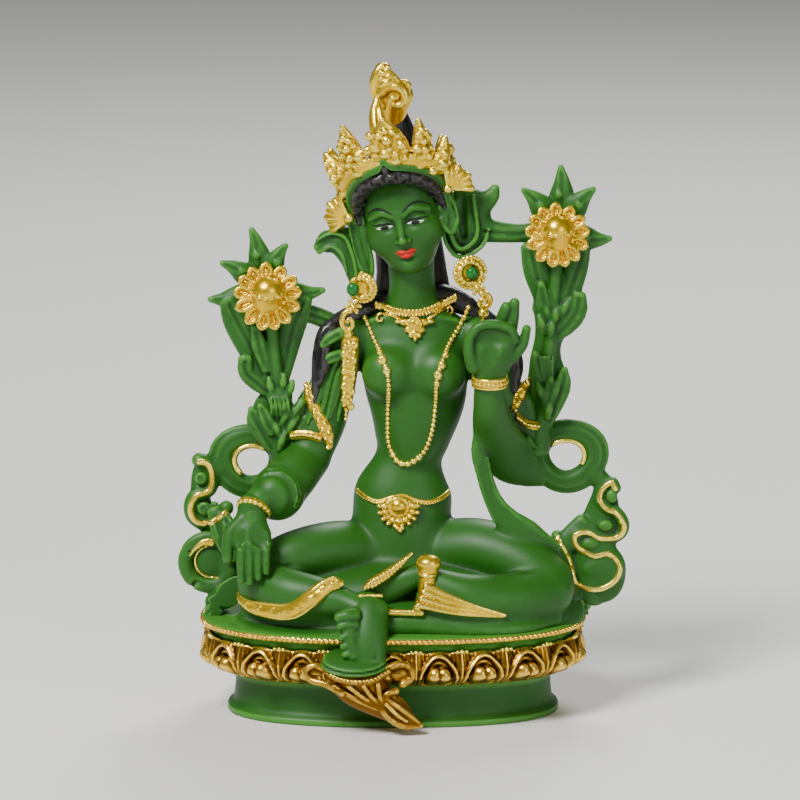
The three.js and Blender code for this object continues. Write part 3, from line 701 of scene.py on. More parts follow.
def petal_relief(across, up):
    """How far the petal ring stands out at a place on one petal: across is -0.5 to 0.5, up is 0 to 1."""
    # An arch round the petal's middle, on which the gold rim, a finer line and a sunken field lie
    reach = np.hypot(across / 0.455, (up - 0.02) / 0.93)
    rim = 1.1 * np.exp(-(((reach - 0.93) / 0.075) ** 2))
    line = 0.45 * np.exp(-(((reach - 0.74) / 0.05) ** 2))
    field = -PETAL_SUNK / (1 + np.exp((reach - 0.86) * 40))
    # Two round lobes side by side in the field
    lobes = 0
    for middle in (-0.1, 0.1):
        away = ((across - middle) / 0.18) ** 2 + ((up - 0.31) / 0.29) ** 2
        lobes = np.maximum(lobes, LOBE_HEIGHT * np.sqrt(np.clip(1 - away, 0, 1)))
    # A small fluted leaf between two petals, wider towards its top
    gap = 0.5 - np.abs(across)
    leaf = 0.75 * np.clip(1 - gap / (0.03 + 0.17 * up), 0, 1) * (reach > 0.97)
    flutes = 0.12 * np.cos(gap * 75) * (reach > 1.02)
    return rim + line + field + lobes + leaf + flutes - PETAL_SUNK


# The band under the petals: its inset at a few shares of its height, and its top edge's scallops
BELLY_AT = (0, 0.12, 0.3, 0.55, 0.8, 1)
BELLY_INSET = (4.4, 2.6, 0.9, 0.55, 1.0, 1.5)
SCALLOP = 0.55


def petal_ring():
    """The ring of lotus petals, as relief on a swelling band whose top edge is scalloped."""
    count = PETAL_COUNT * PETAL_STEPS
    shares = even_shares(count)
    across = (np.arange(count) / PETAL_STEPS + 0.5 - PETAL_SHIFT) % 1 - 0.5
    top = PETAL_TOP - SCALLOP + SCALLOP * np.abs(np.cos(2 * np.pi * across)) ** 0.6
    low = FOOT_HEIGHT - 0.2
    rings = [np.stack([*oval(shares, FOOT_INSET - 0.3), np.full(count, low - 0.1)], 1)]
    for up in np.linspace(0, 1, PETAL_LEVELS):
        inset = np.interp(up, BELLY_AT, BELLY_INSET) - petal_relief(across, up) * min(1, up * 6)
        rings.append(np.stack([*oval(shares, inset), low + (top - low) * up], 1))
    for inset, drop in ((2.2, 0.1), (3.4, 0.8)):
        rings.append(np.stack([*oval(shares, inset), top - drop], 1))
    pile = Pile()
    pile.loft(rings)
    return pile


def petal_dots():
    pile = Pile()
    spots = even_shares(PETAL_COUNT * DOT_STEPS)
    for petal in range(PETAL_COUNT):
        for step, radius in ((-2, 0.42), (0, 0.55), (2, 0.42)):
            place = int((petal + 0.5 + PETAL_SHIFT) * DOT_STEPS) + step
            x, y = oval([spots[place % len(spots)]], 0.9)
            pile.ball((x[0], y[0], PETAL_TOP + 0.05), radius)
    return pile


def seat_plate():
    pile = Pile()
    neck = [(PETAL_TOP - 1, NECK_INSET + 0.6), (PETAL_TOP + 0.3, NECK_INSET),
            (PLATE_LOW - 0.3, NECK_INSET - 0.1)]
    edge = [(PLATE_LOW, 1.4), (PLATE_LOW + 0.3, 0.8), (SEAT - 0.4, 0.6), (SEAT - 0.05, 1.0), (SEAT, 1.6)]
    top = [(SEAT + 0.12, 4), (SEAT + 0.1, 12)]
    pile.loft(oval_rings(neck + edge + top, PLINTH_SIDES))
    return pile


def bead_rim():
    pile = Pile()
    for x, y in zip(*oval(even_shares(RIM_BEADS), RIM_INSET)):
        pile.ball((x, y, RIM_LEVEL), (0.62, 0.62, 0.64), shape=SMALL_BALL)
    low, high, face = RIM_LEVEL - 0.5, RIM_LEVEL + 0.5, RIM_INSET + 0.05
    band = [(low - 0.05, face + 0.25), (low, face), (high, face), (high + 0.05, face + 0.25)]
    pile.loft(oval_rings(band, 200))
    return pile


def make_plinth():
    foot = piece("plinth_foot", plinth_foot(), GREEN, plinth_place, reach=1.2)
    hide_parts(NODE)
    piece("plinth_petals", petal_ring(), DARK_GOLD, plinth_place, reach=0.22)
    piece("plinth_petal_dots", petal_dots(), GOLD, plinth_place)
    piece("plinth_seat", seat_plate(), GREEN, plinth_place)
    piece("plinth_beads", bead_rim(), DARK_GOLD, plinth_place, reach=0.2, rounds=1)


# The body

TRUNK = [
    [1.2, 3, 6, 14, 11],
    [1.8, 3.2, 14, 12.6, 10],
    [2, 3.2, 22, 11.3, 8.8],
    [2.4, 3.2, 28, 11, 7.6],
    [3.6, 3.2, 35.6, 7.6, 5.8],
    [4.4, 3, 40, 8.6, 6.2],
    [5.3, 2.8, 49, 11.2, 7.4],
    [4.9, 2.8, 57, 12.2, 7.4],
    [4.5, 3.2, 63, 12.9, 6.4],
    [4.5, 3.4, 67.5, 11, 5.2],
    [4.5, 3.3, 70.6, 7.2, 4.9],
    [4.4, 3, 74, 5.5, 5.1],
    [3.9, 2.4, 84, 5.4, 5.1],
]


def trunk(clay):
    clay.tube(TRUNK, blend=1, steps=8)
    for x in (-1, 10.4):
        clay.ball((x, -2.9, 56.2), (6.1, 4.8, 5.9), blend=2.4)
    clay.ball((4.9, -2.2, 45), (4.6, 2.4, 10), blend=3)
    clay.tube([[4.9, -6.2, 61, 0.35], [4.8, -6.8, 56, 0.45], [4.8, -5.8, 52, 0.35]], blend=1.1, cut=True)
    for side in (-1, 1):
        clay.tube([[4.5 + side * 1.6, -1.4, 69.4, 0.5], [4.5 + side * 10, 0.4, 67.6, 0.6]], blend=1.4)
    clay.ball((4.2, -4.9, 38.4), (0.5, 1, 0.7), blend=0.5, cut=True)


def lap(clay):
    clay.tube([[-24, -4, 5, 10, 5.5], [2, -3, 6.5, 12, 7], [30, -4, 5, 10, 5.5]], blend=2, facing=UP)
    clay.ball((2, 8, 3.5), (25, 10, 7), blend=2)
    legs = (
        [[-3, 3, 12.5, 7.6], [-13, -2, 14.8, 6.9], [-22, -6, 14.2, 6.2], [-29.5, -8, 11.2, 5.7]],
        [[-29.8, -10, 9.4, 5.6], [-23, -15.5, 8.2, 5.4], [-15.5, -18.5, 7.6, 4.4], [-9.6, -21, 6.6, 3.1],
         [-6.2, -23, 5.2, 2.9]],
        [[8, 3, 12.8, 7.8], [20, -2, 15, 7.2], [29.5, -6, 12.6, 6.6], [35, -8.5, 9.2, 6]],
        [[35, -10, 7.4, 6], [27, -15, 6.6, 5.9], [17.5, -18, 8, 5], [10, -18, 11, 3.3], [7, -17, 12, 3]],
    )
    clay.tubes(legs, blend=0.9, facing=UP, steps=9)
    clay.tubes((
        [[-9, -14.5, 1.6, 4.6, 6], [2, -16.8, 2.2, 4.4, 6], [16, -17, 1.6, 4, 5]],
        [[7, -20.4, 8.6, 3.2, 1.8], [14, -21.2, 6, 2.6, 1.8], [24, -20.4, 3.6, 0.9, 1]],
    ), blend=1)
    clay.tubes((
        [[-24, -12.8, 13.6, 0.5], [-18, -15, 12.6, 0.55], [-11, -17.6, 11.4, 0.4]],
        [[14, -12.6, 17.2, 0.4], [22, -14.4, 15.6, 0.6], [30, -14.2, 12.4, 0.4]],
        [[-8, -8.6, 16, 0.4], [-3, -8.2, 19.2, 0.5], [-0.6, -7, 22.6, 0.3]],
        [[12.6, -8.4, 17.4, 0.4], [8.6, -8.4, 20, 0.5], [6, -6.6, 23, 0.3]],
    ), blend=0.9, cut=True)
    skirts = (
        [[-35, -11, 0.4, 2.4, 1.6], [-31, -15.4, -0.7, 3, 1.5], [-24, -19.4, -0.7, 3, 1.4],
         [-15, -20.4, -0.6, 3, 1.4], [-9, -19.6, 0.4, 2.6, 1.6]],
        [[-31, -10.6, 4.4, 3.6, 4.6], [-24, -14.6, 3.6, 3.8, 4.2], [-15, -16.8, 3.4, 3.8, 4.2],
         [-8, -17.6, 3.6, 3.4, 4]],
        [[8, -20, 1.6, 2.4, 2.4], [18, -20.6, 0.9, 2.6, 2.2], [28, -18.4, 0.8, 2.8, 2.2],
         [36, -11.6, 1.2, 2.6, 2.2]],
    )
    clay.tubes(skirts, blend=1.4, facing=UP, steps=6)
    for x, y in ((14, -21.8), (24, -20.4)):
        clay.tube([[x, y, 0.4, 0.5], [x + 2, y + 1, 3.4, 0.6], [x + 4, y + 2, 5.6, 0.4]], blend=1.2)


def upper_arms(clay):
    right = [[-9.5, 3, 64, 4.4], [-13.2, 3, 55, 4.8], [-15.8, 2.2, 45, 5.4], [-19.4, 0.2, 36.4, 5.1]]
    left = [[18.4, 3, 64, 4.5], [22.6, 3, 55, 5.0], [25.6, 2, 47, 5.2], [27, 1.4, 41, 5, 3.6]]
    clay.tubes((right, left), blend=1.6, steps=8)
    drape = [[-18.6, 0.2, 53, 0.8, 0.9], [-19.8, -0.8, 49, 2.2, 1.2], [-20.4, -1.4, 45, 3.2, 1.5],
             [-20.2, -1.6, 42, 3.4, 1.7]]
    clay.tube(drape, blend=0.8, steps=6)
    for x in (-22, -20.4):
        clay.tube([[-19.2, -1.4, 50.4, 0.35], [x, -3, 43, 0.45]], blend=0.4, cut=True)
    drape = [[28.8, 0.4, 53, 0.9, 0.9], [29.6, -0.6, 49, 2.4, 1.3], [30.2, -0.6, 44, 3, 1.6],
             [32.2, 0.4, 39, 2.6, 1.6]]
    clay.tube(drape, blend=0.9, steps=6)


def forearms(clay):
    sleeve = [[-19.4, 0.2, 36, 5.2], [-22.8, -4, 32.8, 5.8], [-25.4, -6.6, 30.2, 5.8]]
    clay.tube(sleeve, blend=0.7, steps=8)
    clay.ball((-26.2, -7.4, 29.2), (6.1, 5.6, 6.1), blend=1)
    for reach, forward, end in ((5.1, 4.1, 128), (5.8, 3.0, 112), (6.5, 1.4, 96)):
        arc = circle((-26.6, -7.2 - forward, 29.9), (-0.15, -0.95, 0.15), reach, -34, end, 21)
        clay.tube(thick(arc, 0.4), blend=0.25, steps=1)
    clay.ball((-27, -10.8, 29.5), (4.5, 3.2, 4.6), blend=0.15)
    clay.tube([[-27, -10, 29.8, 3.6], [-30.2, -12, 28.6, 3.3], [-31.6, -13.2, 27, 3.0],
               [-31.9, -14, 24.4, 3]], blend=0.3, steps=6)
    sheet = [[21.5, -12.6, 56, 3.3, 3.3], [21.9, -10.8, 50, 3.9, 3.7], [22.6, -7.8, 45, 4.7, 3.6],
             [24.4, -4.6, 40, 5.6, 3], [27.4, -1, 35.8, 6, 2.2], [31, 1.6, 33, 4.6, 1.6],
             [34.8, 3, 30.8, 2.4, 1.4]]
    clay.tube(sheet, blend=1.2, steps=8)
    for shift in (0, 2.4):
        line = [[27.6 + shift, -4, 44, 0.25], [29.6 + shift, -2.4, 39.6, 0.4],
                [32.6 + shift, -0.2, 35.4, 0.3]]
        clay.tube(line, blend=0.6)


def sleeve_fall(clay):
    """The edge of the wide sleeve, which falls from the raised wrist to the thigh."""
    fall = [[19.4, -8.4, 43, 1.2, 1.2], [19.2, -7.8, 39, 1.7, 1.2], [20.6, -7, 34, 1.8, 1.1],
            [22.9, -6.6, 27.6, 2, 1.1], [25.6, -7, 23.4, 3, 1.1], [29.4, -7.6, 20, 4, 1.2],
            [33.4, -7, 17.8, 3, 1.1], [37.4, -5.6, 16.4, 1.2, 0.8]]
    clay.tube(fall, blend=0.8, steps=6)
    inner = [[21.5, -8.8, 38, 0.35], [22, -8, 34.5, 0.42], [24.3, -7.4, 28, 0.5], [28.8, -8, 23.6, 0.5],
             [33, -8, 20.4, 0.45], [37.4, -6.4, 17.6, 0.35]]
    clay.tube(inner, blend=0.35, steps=6)
    clay.tube([[17.9, -8, 41.7, 0.35], [18.6, -7.8, 36, 0.5], [20.9, -7.2, 27.5, 0.45],
               [23, -8, 22.6, 0.4]], blend=0.4, steps=6)


def body_clay():
    clay = Clay((-42, -33, -1.5), (46, 20, 86), 0.5)
    trunk(clay)
    upper_arms(clay)
    lap(clay)
    forearms(clay)
    sleeve_fall(clay)
    return clay


# The lowered upper arm's middle and half width at a few heights: x, z, half width
ARM_LINE = ((-10.6, 60.8, 4.1), (-12.9, 56, 4.5), (-14.5, 50, 4.9), (-15.9, 44.6, 5.2))


def arm_folds(surface):
    """Gathered cloth that runs down the lowered upper arm."""
    clay = Clay((-22, -6, 41), (-5, 4, 64), 0.26)
    for k, share in enumerate((-0.66, -0.42, -0.16, 0.1, 0.36, 0.62)):
        drop = (0, 1.6, 0.5)[k % 3]
        rows = []
        for i, (x, z, reach) in enumerate(ARM_LINE):
            sway = 0.25 * math.sin(2 * k + i)
            shorter = (-drop, 0, 0, 0.8 * drop)[i]
            rows.append([x + reach * share + sway, z + shorter, (0.3, 0.62, 0.66, 0.3)[i]])
        clay.strip(lay(surface, flat_curve(rows), 0.1), 0.55, blend=0.3)
    return clay


def finger(clay, joints, radius, blend):
    """A finger through its joints, thinner at each."""
    clay.tube([[*joint, radius * (1 - 0.14 * i)] for i, joint in enumerate(joints)], blend=blend, steps=4)


def giving_hand():
    """The open right hand, with its fingers down and its palm to the front."""
    clay = Clay((-40, -22, 8), (-24, -9, 31), 0.28)
    palm = [[-31.7, -13.4, 28, 3.1, 2.8], [-31.9, -14.4, 25, 3.5, 2.2], [-31.9, -15.8, 21.8, 4.5, 2.2],
            [-31.2, -17, 18.8, 4.2, 1.8]]
    clay.tube(palm, blend=0.5, steps=8)
    for x, tip, size in ((-34.1, 11.7, 1.22), (-32.2, 11.3, 1.22), (-30.3, 12.4, 1.22), (-28.5, 13.6, 1.1)):
        finger(clay, [[x, -17.4, 19.8], [x - 0.05, -18.3, 15.6], [x, -18.2, tip]], size, 0.05)
    finger(clay, [[-34, -14.8, 24.8], [-36.8, -15.6, 21.4], [-37.2, -16.6, 16.4]], 1.7, 0.5)
    clay.ball((-30.2, -18.2, 22), (1.8, 0.8, 2.8), tilt=(0, -18, 0), blend=1, cut=True)
    clay.ball((-34.4, -18, 21.4), (0.9, 0.6, 2.4), tilt=(0, 16, 0), blend=0.8, cut=True)
    clay.tubes((
        [[-35, -18.2, 19.4, 0.2], [-31.4, -19.1, 18.9, 0.25], [-27.9, -18.4, 19.4, 0.2]],
        [[-34.6, -19.4, 15.6, 0.15], [-31, -19.6, 15.4, 0.15], [-27.8, -19.3, 15.6, 0.15]],
    ), blend=0.3, cut=True)
    return clay


def raised_hand():
    """The left hand at the shoulder: three fingers up, and one bent in to the thumb like a ring."""
    clay = Clay((13, -22, 53), (34, -9, 79), 0.3)
    palm = [[21.5, -12.6, 55.6, 3.2, 3], [21.7, -13, 58, 3.8, 2.8], [22, -13.6, 61.4, 5.2, 3],
            [22.2, -14.2, 65.4, 5.5, 2.9], [22.4, -14.4, 68.4, 4.4, 2]]
    clay.tube(palm, blend=0.5, steps=8)
    finger(clay, [[23.4, -13.6, 66.6], [24.3, -13.6, 70.4], [25.3, -14.2, 73.4]], 1.6, 0.3)
    finger(clay, [[26, -13.6, 66.6], [26.9, -13.4, 71], [27.2, -13.8, 74.2]], 1.6, 0.3)
    finger(clay, [[26.6, -13.8, 61.8], [29, -14, 64.6], [29.9, -14.6, 68.4]], 1.4, 0.4)
    ring = [[27.2, -14.8, 66.2, 1.2], [26.2, -16, 68.6, 1.15], [22.6, -16.6, 69.8, 1.1],
            [19.2, -16.8, 69.3, 1.1], [17.3, -16.8, 67, 1.1], [17, -16.2, 63.6, 1.3], [18, -14.8, 60, 1.7]]
    clay.tube(ring, blend=0.7, steps=6)
    clay.ball((22.2, -17.7, 66.2), (3.6, 1.9, 2.2), blend=1, cut=True)
    clay.ball((21.4, -17.6, 63), (1.8, 1.4, 3.4), tilt=(0, 24, 0), blend=1, cut=True)
    clay.ball((21, -17.2, 60.6), (0.9, 0.8, 3), tilt=(0, 30, 0), blend=0.8, cut=True)
    return clay


def front_foot():
    """The foot stands on the pad, with its toes in a row at the left."""
    clay = Clay((-18, -34.4, -8), (4, -14, 14), 0.3)
    instep = [[-6.4, -21, 6.8, 3.6, 3], [-5.8, -23.2, 5.2, 4.5, 3.2], [-5.6, -25.4, 1.8, 4.5, 3.2],
              [-5.4, -27.2, -1.8, 4.1, 2.8], [-5.3, -28.2, -4.4, 3.8, 2.3]]
    clay.tube(instep, blend=0.5, steps=6)
    clay.ball((-2.6, -23.4, 6.2), (1.7, 2, 1.8), blend=1)
    web = [[-9.4, -25.6, 5.4, 2, 2.4], [-9.8, -27.2, 1.4, 2.1, 2.4], [-9, -28.4, -3, 2, 2]]
    clay.tube(web, blend=0.8, steps=6)
    for i in range(5):
        root = np.array((-8.8 + 0.15 * i, -27.0 - 0.4 * i, 5.6 - 2.1 * i))
        tip = np.array((-11.9 + 0.3 * i, -27.8 - 0.45 * i, 5.3 - 2.1 * i + 0.3 * math.sin(2 * i)))
        size = (1.75, 1.4, 1.35, 1.25, 1.15)[i]
        finger(clay, [root, (root + tip) / 2 + (0, -0.3, 0.2), tip], size, 0.1)
    clay.tube([[-1.8, -29.2, 2.6, 0.25], [-3.4, -30.2, -0.6, 0.35],
               [-3.8, -30.2, -3.4, 0.3]], blend=0.7, cut=True)
    return clay


def back_foot():
    clay = Clay((-10, -24, 2), (12, -10, 20), 0.36)
    clay.tube([[6.6, -17, 12.8, 2.6], [3, -17.6, 11.6, 2.8, 2.2], [-2.6, -17.8, 8.8, 3.0, 1.8],
               [-4.8, -17.8, 7.6, 2.6, 1.5]], blend=0.4)
    clay.ball((-5.4, -17.6, 7.4), (1.6, 1.5, 2.6), tilt=(0, 30, 0), blend=0.6)
    return clay


def make_body():
    body = body_clay()
    folded = back_foot()
    piece("body", body, SKIN, reach=0.3, rounds=6, smooth=3)
    piece("giving_hand", giving_hand(), SKIN)
    piece("raised_hand", raised_hand(), SKIN)
    piece("front_foot", front_foot(), SKIN)
    piece("back_foot", folded, SKIN)
    surface = surface_of(body, folded)
    piece("arm_folds", arm_folds(surface), SKIN)
    return surface


# The head, in its own frame: the face looks towards -Y

EYE_LEVEL = 0.5
NOSE_END = -4.0
MOUTH_LEVEL = -6.3
CHIN_LEVEL = -11.9
BROW_LEVEL = 3.4
EYE_PLACE = 3.4
EYE_STEPS = 28  # points round an eye's outline
LINE_LIFT, LINE_DEEP = 0.03, 0.12  # how far a painted line is laid off the skin, and its half depth


def ear(clay, side, low):
    """A long ear whose lobe ends at a height."""
    out = (side * 0.45, -0.9, 0)
    drop = low + 1.4
    plate = [[9.4, -2.6, 3.0, 1.3, 0.7], [9.9, -2.8, 0, 1.9, 0.7], [10.1, -3.2, drop * 0.5, 2, 0.7],
             [9.9, -3.6, drop, 1.4, 0.7]]
    clay.tube([[side * x, *rest] for x, *rest in plate], facing=out, steps=6)
    rim = [[8.4, -3.6, 0.6, 0.4], [8.7, -3.6, 3.4, 0.5], [10.2, -3.2, 4, 0.55], [11.6, -2.8, 1.2, 0.55],
           [11.9, -3.2, drop * 0.5, 0.55], [11.2, -3.8, drop * 0.9, 0.6], [9.8, -4.1, low, 0.65],
           [8.6, -4.3, drop * 0.85, 0.55], [8.3, -4.1, drop * 0.4, 0.45]]
    clay.tube([[side * x, *rest] for x, *rest in rim], blend=0.2, facing=out)
    slot = [[9.9, -4, 2.2, 0.5], [10.3, -4.1, drop * 0.4, 0.6], [9.9, -4.5, drop * 0.9, 0.5]]
    clay.tube([[side * x, *rest] for x, *rest in slot], blend=0.3, cut=True)


def head_clay():
    clay = Clay((-12, -13, -13), (12, 13, 15), 0.27)
    clay.ball((0, 1.4, 3.6), (9.0, 9.9, 9.8), blend=1)
    clay.ball((0, -1.1, -2.2), (8.2, 8.2, 8.4), blend=1.5)
    clay.ball((0, -4.1, CHIN_LEVEL + 3.6), (5.2, 4.6, 4.3), blend=2.6)
    for side in (-1, 1):
        eye = side * EYE_PLACE
        brow = [[side * 1.2, -8.2, BROW_LEVEL - 0.9, 0.4], [eye, -7.9, BROW_LEVEL, 0.5],
                [side * 6.4, -5.9, 2, 0.4]]
        clay.tube(brow, blend=1.3)
        clay.ball((eye, -9.0, EYE_LEVEL - 0.1), (2.6, 1.5, 1.5), blend=1, cut=True)
        clay.ball((eye, -6.7, EYE_LEVEL - 0.2), (2.5, 1.65, 1.4), blend=0.4)
        crease = [[side * 1.5, -7.9, 1.3, 0.14], [eye, -8.1, 2.3, 0.16], [side * 5.6, -6.8, 1.5, 0.14]]
        clay.tube(crease, blend=0.5, cut=True)
        clay.ball((side * 4.4, -5.0, -3.4), (3.4, 2.9, 3.4), blend=2.4)
        ear(clay, side, (-12, -5)[side > 0])
    nose = [[0, -8.2, 2.9, 0.45], [0, -8.8, 0.6, 0.6], [0, -9.6, -1.8, 0.75], [0, -10.0, -3.1, 0.85]]
    clay.tube(nose, blend=0.8)
    clay.ball((0, -10.2, NOSE_END + 0.9), (0.95, 0.9, 0.8), blend=0.4)
    for side in (-1, 1):
        clay.ball((side * 1.15, -9.3, NOSE_END + 0.6), (0.7, 0.8, 0.6), blend=0.4)
        clay.ball((side * 0.55, -9.9, NOSE_END - 0.1), (0.3, 0.4, 0.25), blend=0.2, cut=True)
    clay.tube([[0, -9.2, -4.5, 0.25], [0, -9.1, -5.3, 0.3]], blend=0.4, cut=True)
    clay.ball((0, -7.4, MOUTH_LEVEL - 0.1), (2.6, 1.6, 1.5), blend=1.2)
    clay.ball((0, -8.9, MOUTH_LEVEL - 1.7), (1.7, 0.5, 0.4), blend=0.9, cut=True)
    clay.ball((0, -6.6, CHIN_LEVEL + 1.9), (2.1, 2, 1.7), blend=1.6)
    return clay


def lips():
    clay = Clay((-3.4, -11, -8.6), (3.4, -6, -4.6), 0.13)
    upper = [[-2.5, -8.3, -6.2, 0.16], [-1.2, -9.1, -5.9, 0.5], [0, -9.25, -6.05, 0.44],
             [1.2, -9.1, -5.9, 0.5], [2.5, -8.3, -6.2, 0.16]]
    clay.tube(upper, blend=0.15)
    clay.tube([[-2, -8.6, -6.5, 0.2], [0, -9.1, -6.95, 0.64], [2, -8.6, -6.5, 0.2]], blend=0.15)
    return clay


def painted_line(surface, places, width):
    """A thin raised line of paint, through places x, z and a share of the width."""
    pile = Pile()
    rows = lay(surface, flat_curve(places, 8), LINE_LIFT)
    pile.tube([[x, y, z, width * share, LINE_DEEP] for x, y, z, share in rows])
    return pile


def painted_spot(surface, centre, outline, lift):
    """A patch of paint inside an outline x, z, laid a little proud of a surface."""
    rings = [centre + (np.array(outline) - centre) * share for share in (0.05, 0.35, 0.7, 1)]
    fronts = [lay(surface, ring, lift) for ring in rings]
    rim = lay(surface, rings[-1], -0.25)
    pile = Pile()
    pile.loft([*fronts, rim])
    return pile


def almond(centre, half_width, up, down):
    """An eye's outline, pointed at both ends."""
    turns = np.arange(EYE_STEPS) / EYE_STEPS * 2 * np.pi
    high = np.where(np.sin(turns) > 0, up, down) * np.sin(turns) * np.abs(np.sin(turns)) ** 0.3
    return np.stack([centre[0] + half_width * np.cos(turns), centre[1] + high], 1)


def make_face():
    clay = head_clay()
    piece("head", clay, SKIN, head_place, reach=0.14)
    face = surface_of(clay)
    piece("lips", lips(), RED, head_place, reach=0.1)
    for name, side in (("right", -1), ("left", 1)):
        centre = np.array((side * EYE_PLACE, EYE_LEVEL - 0.35))
        white = painted_spot(face, centre, almond(centre, 1.85, 0.36, 0.34), 0.04)
        piece(f"{name}_eye_white", white, WHITE, head_place)
        iris = painted_spot(face, centre, almond(centre, 1.05, 0.46, 0.42), 0.09)
        piece(f"{name}_iris", iris, LINE, head_place)
        lash = [[side * 1.3, 0.4, 0.6], [side * 2.4, 0.85, 1.2], [side * 4.2, 0.9, 1.3],
                [side * 5.9, 0.7, 0.5]]
        piece(f"{name}_lash_line", painted_line(face, lash, 0.26), LINE, head_place)
        brow = [[side * 1.2, 3.2, 0.4], [side * 3, 4.3, 1.1], [side * 4.9, 4.3, 1], [side * 6.7, 3, 0.3]]
        piece(f"{name}_brow", painted_line(face, brow, 0.32), LINE, head_place)


# Hair

HAIR_ARCH = [
    [-8.8, -2.8, -3.6, 0.4], [-9.1, -3.2, 1.6, 0.95], [-8.4, -4.9, 6.2, 1.5], [-5.9, -7.4, 9.9, 1.75],
    [-2.6, -9.1, 11.7, 1.8], [0, -9.6, 12.1, 1.65],
]


HAIR_GROOVES = 22  # grooves round the cap of hair and round the topknot


def front_hair():
    clay = Clay((-13, -13, -8), (13, 16, 28), 0.31)
    clay.ball((0, 3.4, 4.6), (9.7, 9.6, 10.6), blend=1)
    path = through(padded(arch(HAIR_ARCH)), 6)
    clay.tube(path, steps=1, blend=0.3)
    middle = np.array((0, -2, 2))
    for i, row in enumerate(evenly(path, 1.55)):
        place, size = row[:3], row[3]
        inward = unit(middle - place) * size
        if i % 2:
            swell = size * (0.72 + 0.1 * math.sin(2 * i))
            clay.ball(place + inward * 0.6 + (0, -0.5, 0), (swell, swell * 0.8, swell * 0.8), blend=0.25)
            wave = (size * 0.6, size * 0.35, size * 0.4)
            clay.ball(place - inward * 0.25 + (0, -0.75 * size, 0), wave, blend=0.35)
        else:
            clay.ball(place + inward * 1.5 + (0, -0.9, 0), 0.6 * size, blend=0.25, cut=True)
            groove = (0.3, 0.4, 0.75 * size)
            clay.ball(place + inward * 0.3 + (0, -1.1 * size, 0), groove, blend=0.4, cut=True)
    clay.ball((0, -10.5, 14.3), (0.8, 0.85, 1.3), blend=0.4)
    knot = [[0, 2.6, 11, 6.2], [0.8, 2.6, 15, 5], [1.8, 2.6, 19, 4.3], [2.6, 2.4, 23, 2.8]]
    clay.tube(knot, blend=0.5, steps=6)
    for turn in np.linspace(0, 2 * np.pi, HAIR_GROOVES, endpoint=False):
        c, s = np.cos(turn), np.sin(turn)
        cap = [[9.9 * c, 3.4 + 9.8 * s, 4.6, 0.3], [8.2 * c, 3.4 + 8.2 * s, 10.2, 0.3],
               [5.4 * c, 2.8 + 5.4 * s, 14, 0.25]]
        clay.tube(cap, blend=0.4, cut=True)
        top = [[4.9 * c + 1.1, 2.6 + 4.9 * s, 16.6, 0.2], [4.4 * c + 1.8, 2.6 + 4.4 * s, 19, 0.3],
               [2.8 * c + 2.6, 2.4 + 2.8 * s, 23.4, 0.2]]
        clay.tube(top, blend=0.3, cut=True)
    return clay


STRAND_GROOVES = 3
GROOVE_RADIUS = 0.22


def strand(clay, rows):
    """A lock of hair with grooves along it."""
    clay.tube(rows, blend=0.5)
    path = through(padded(rows), 5)
    _, side, depth = axes_along(path, FRONT)
    for k in range(STRAND_GROOVES):
        turn = np.pi * (0.25 + 0.5 * k / (STRAND_GROOVES - 1))
        sway = 0.5 * np.sin(np.linspace(0, 7, len(path)) + k)
        places = path[:, :3] + side * (path[:, 3] * (np.cos(turn) + 0.2 * sway))[:, None]
        places = places + depth * (path[:, 4] * np.sin(turn))[:, None] * front_sign(depth)
        clay.tube([[*p, GROOVE_RADIUS] for p in places[1:-1]], blend=0.25, steps=1, cut=True)


def front_sign(depth):
    """1 where a path's depth direction points forward, and -1 where it points back."""
    return np.where(depth[:, 1] < 0, 1, -1)[:, None]


def loose_hair():
    clay = Clay((-23, -6, 42), (33, 18, 99), 0.48)
    clay.tube([[2.4, 7, 91, 7.6, 4.2], [4.2, 7.4, 78, 8, 4], [4.5, 8.6, 66, 9.6, 3],
               [4.6, 9.6, 54, 8.2, 2.3], [4.6, 9, 45, 2.6, 1.4]], blend=0.5)
    strand(clay, [[-2, 5, 71, 2.4], [-10.4, 2.4, 68, 2.2], [-15.4, -0.2, 65.4, 1.5], [-17.1, -1.4, 60, 1.2],
                  [-17.4, -2, 54, 1.1], [-17.7, -2.4, 48.6, 0.6]])
    strand(clay, [[-13.6, -0.4, 65.6, 1.3], [-15.2, -2, 62, 1.2], [-15.4, -2.6, 58.4, 1.4],
                  [-16.6, -2.6, 54, 0.7]])
    clay.tube([[6, 5, 73, 3], [12.6, 4.6, 72.6, 2.4], [17, 4, 70.6, 2]], blend=0.5)
    strand(clay, [[10, 5.4, 72, 2.2], [19, 3.6, 69, 2], [25, 1.2, 64, 1.8], [28, -0.6, 58, 1.6],
                  [27.4, -1.8, 52, 0.9]])
    for i in range(9):
        x = -3.6 + i * 2
        sway = 0.8 * math.sin(i * 1.9)
        rows = [[x * 0.8 + 1.6, 11.4, 88, 0.3], [x + sway, 11.6, 76, 0.4], [x * 1.05 - sway, 11.8, 64, 0.4],
                [x * 0.8 + 0.9, 12.0, 50, 0.3]]
        clay.tube(rows, blend=0.5, cut=True)
    return clay


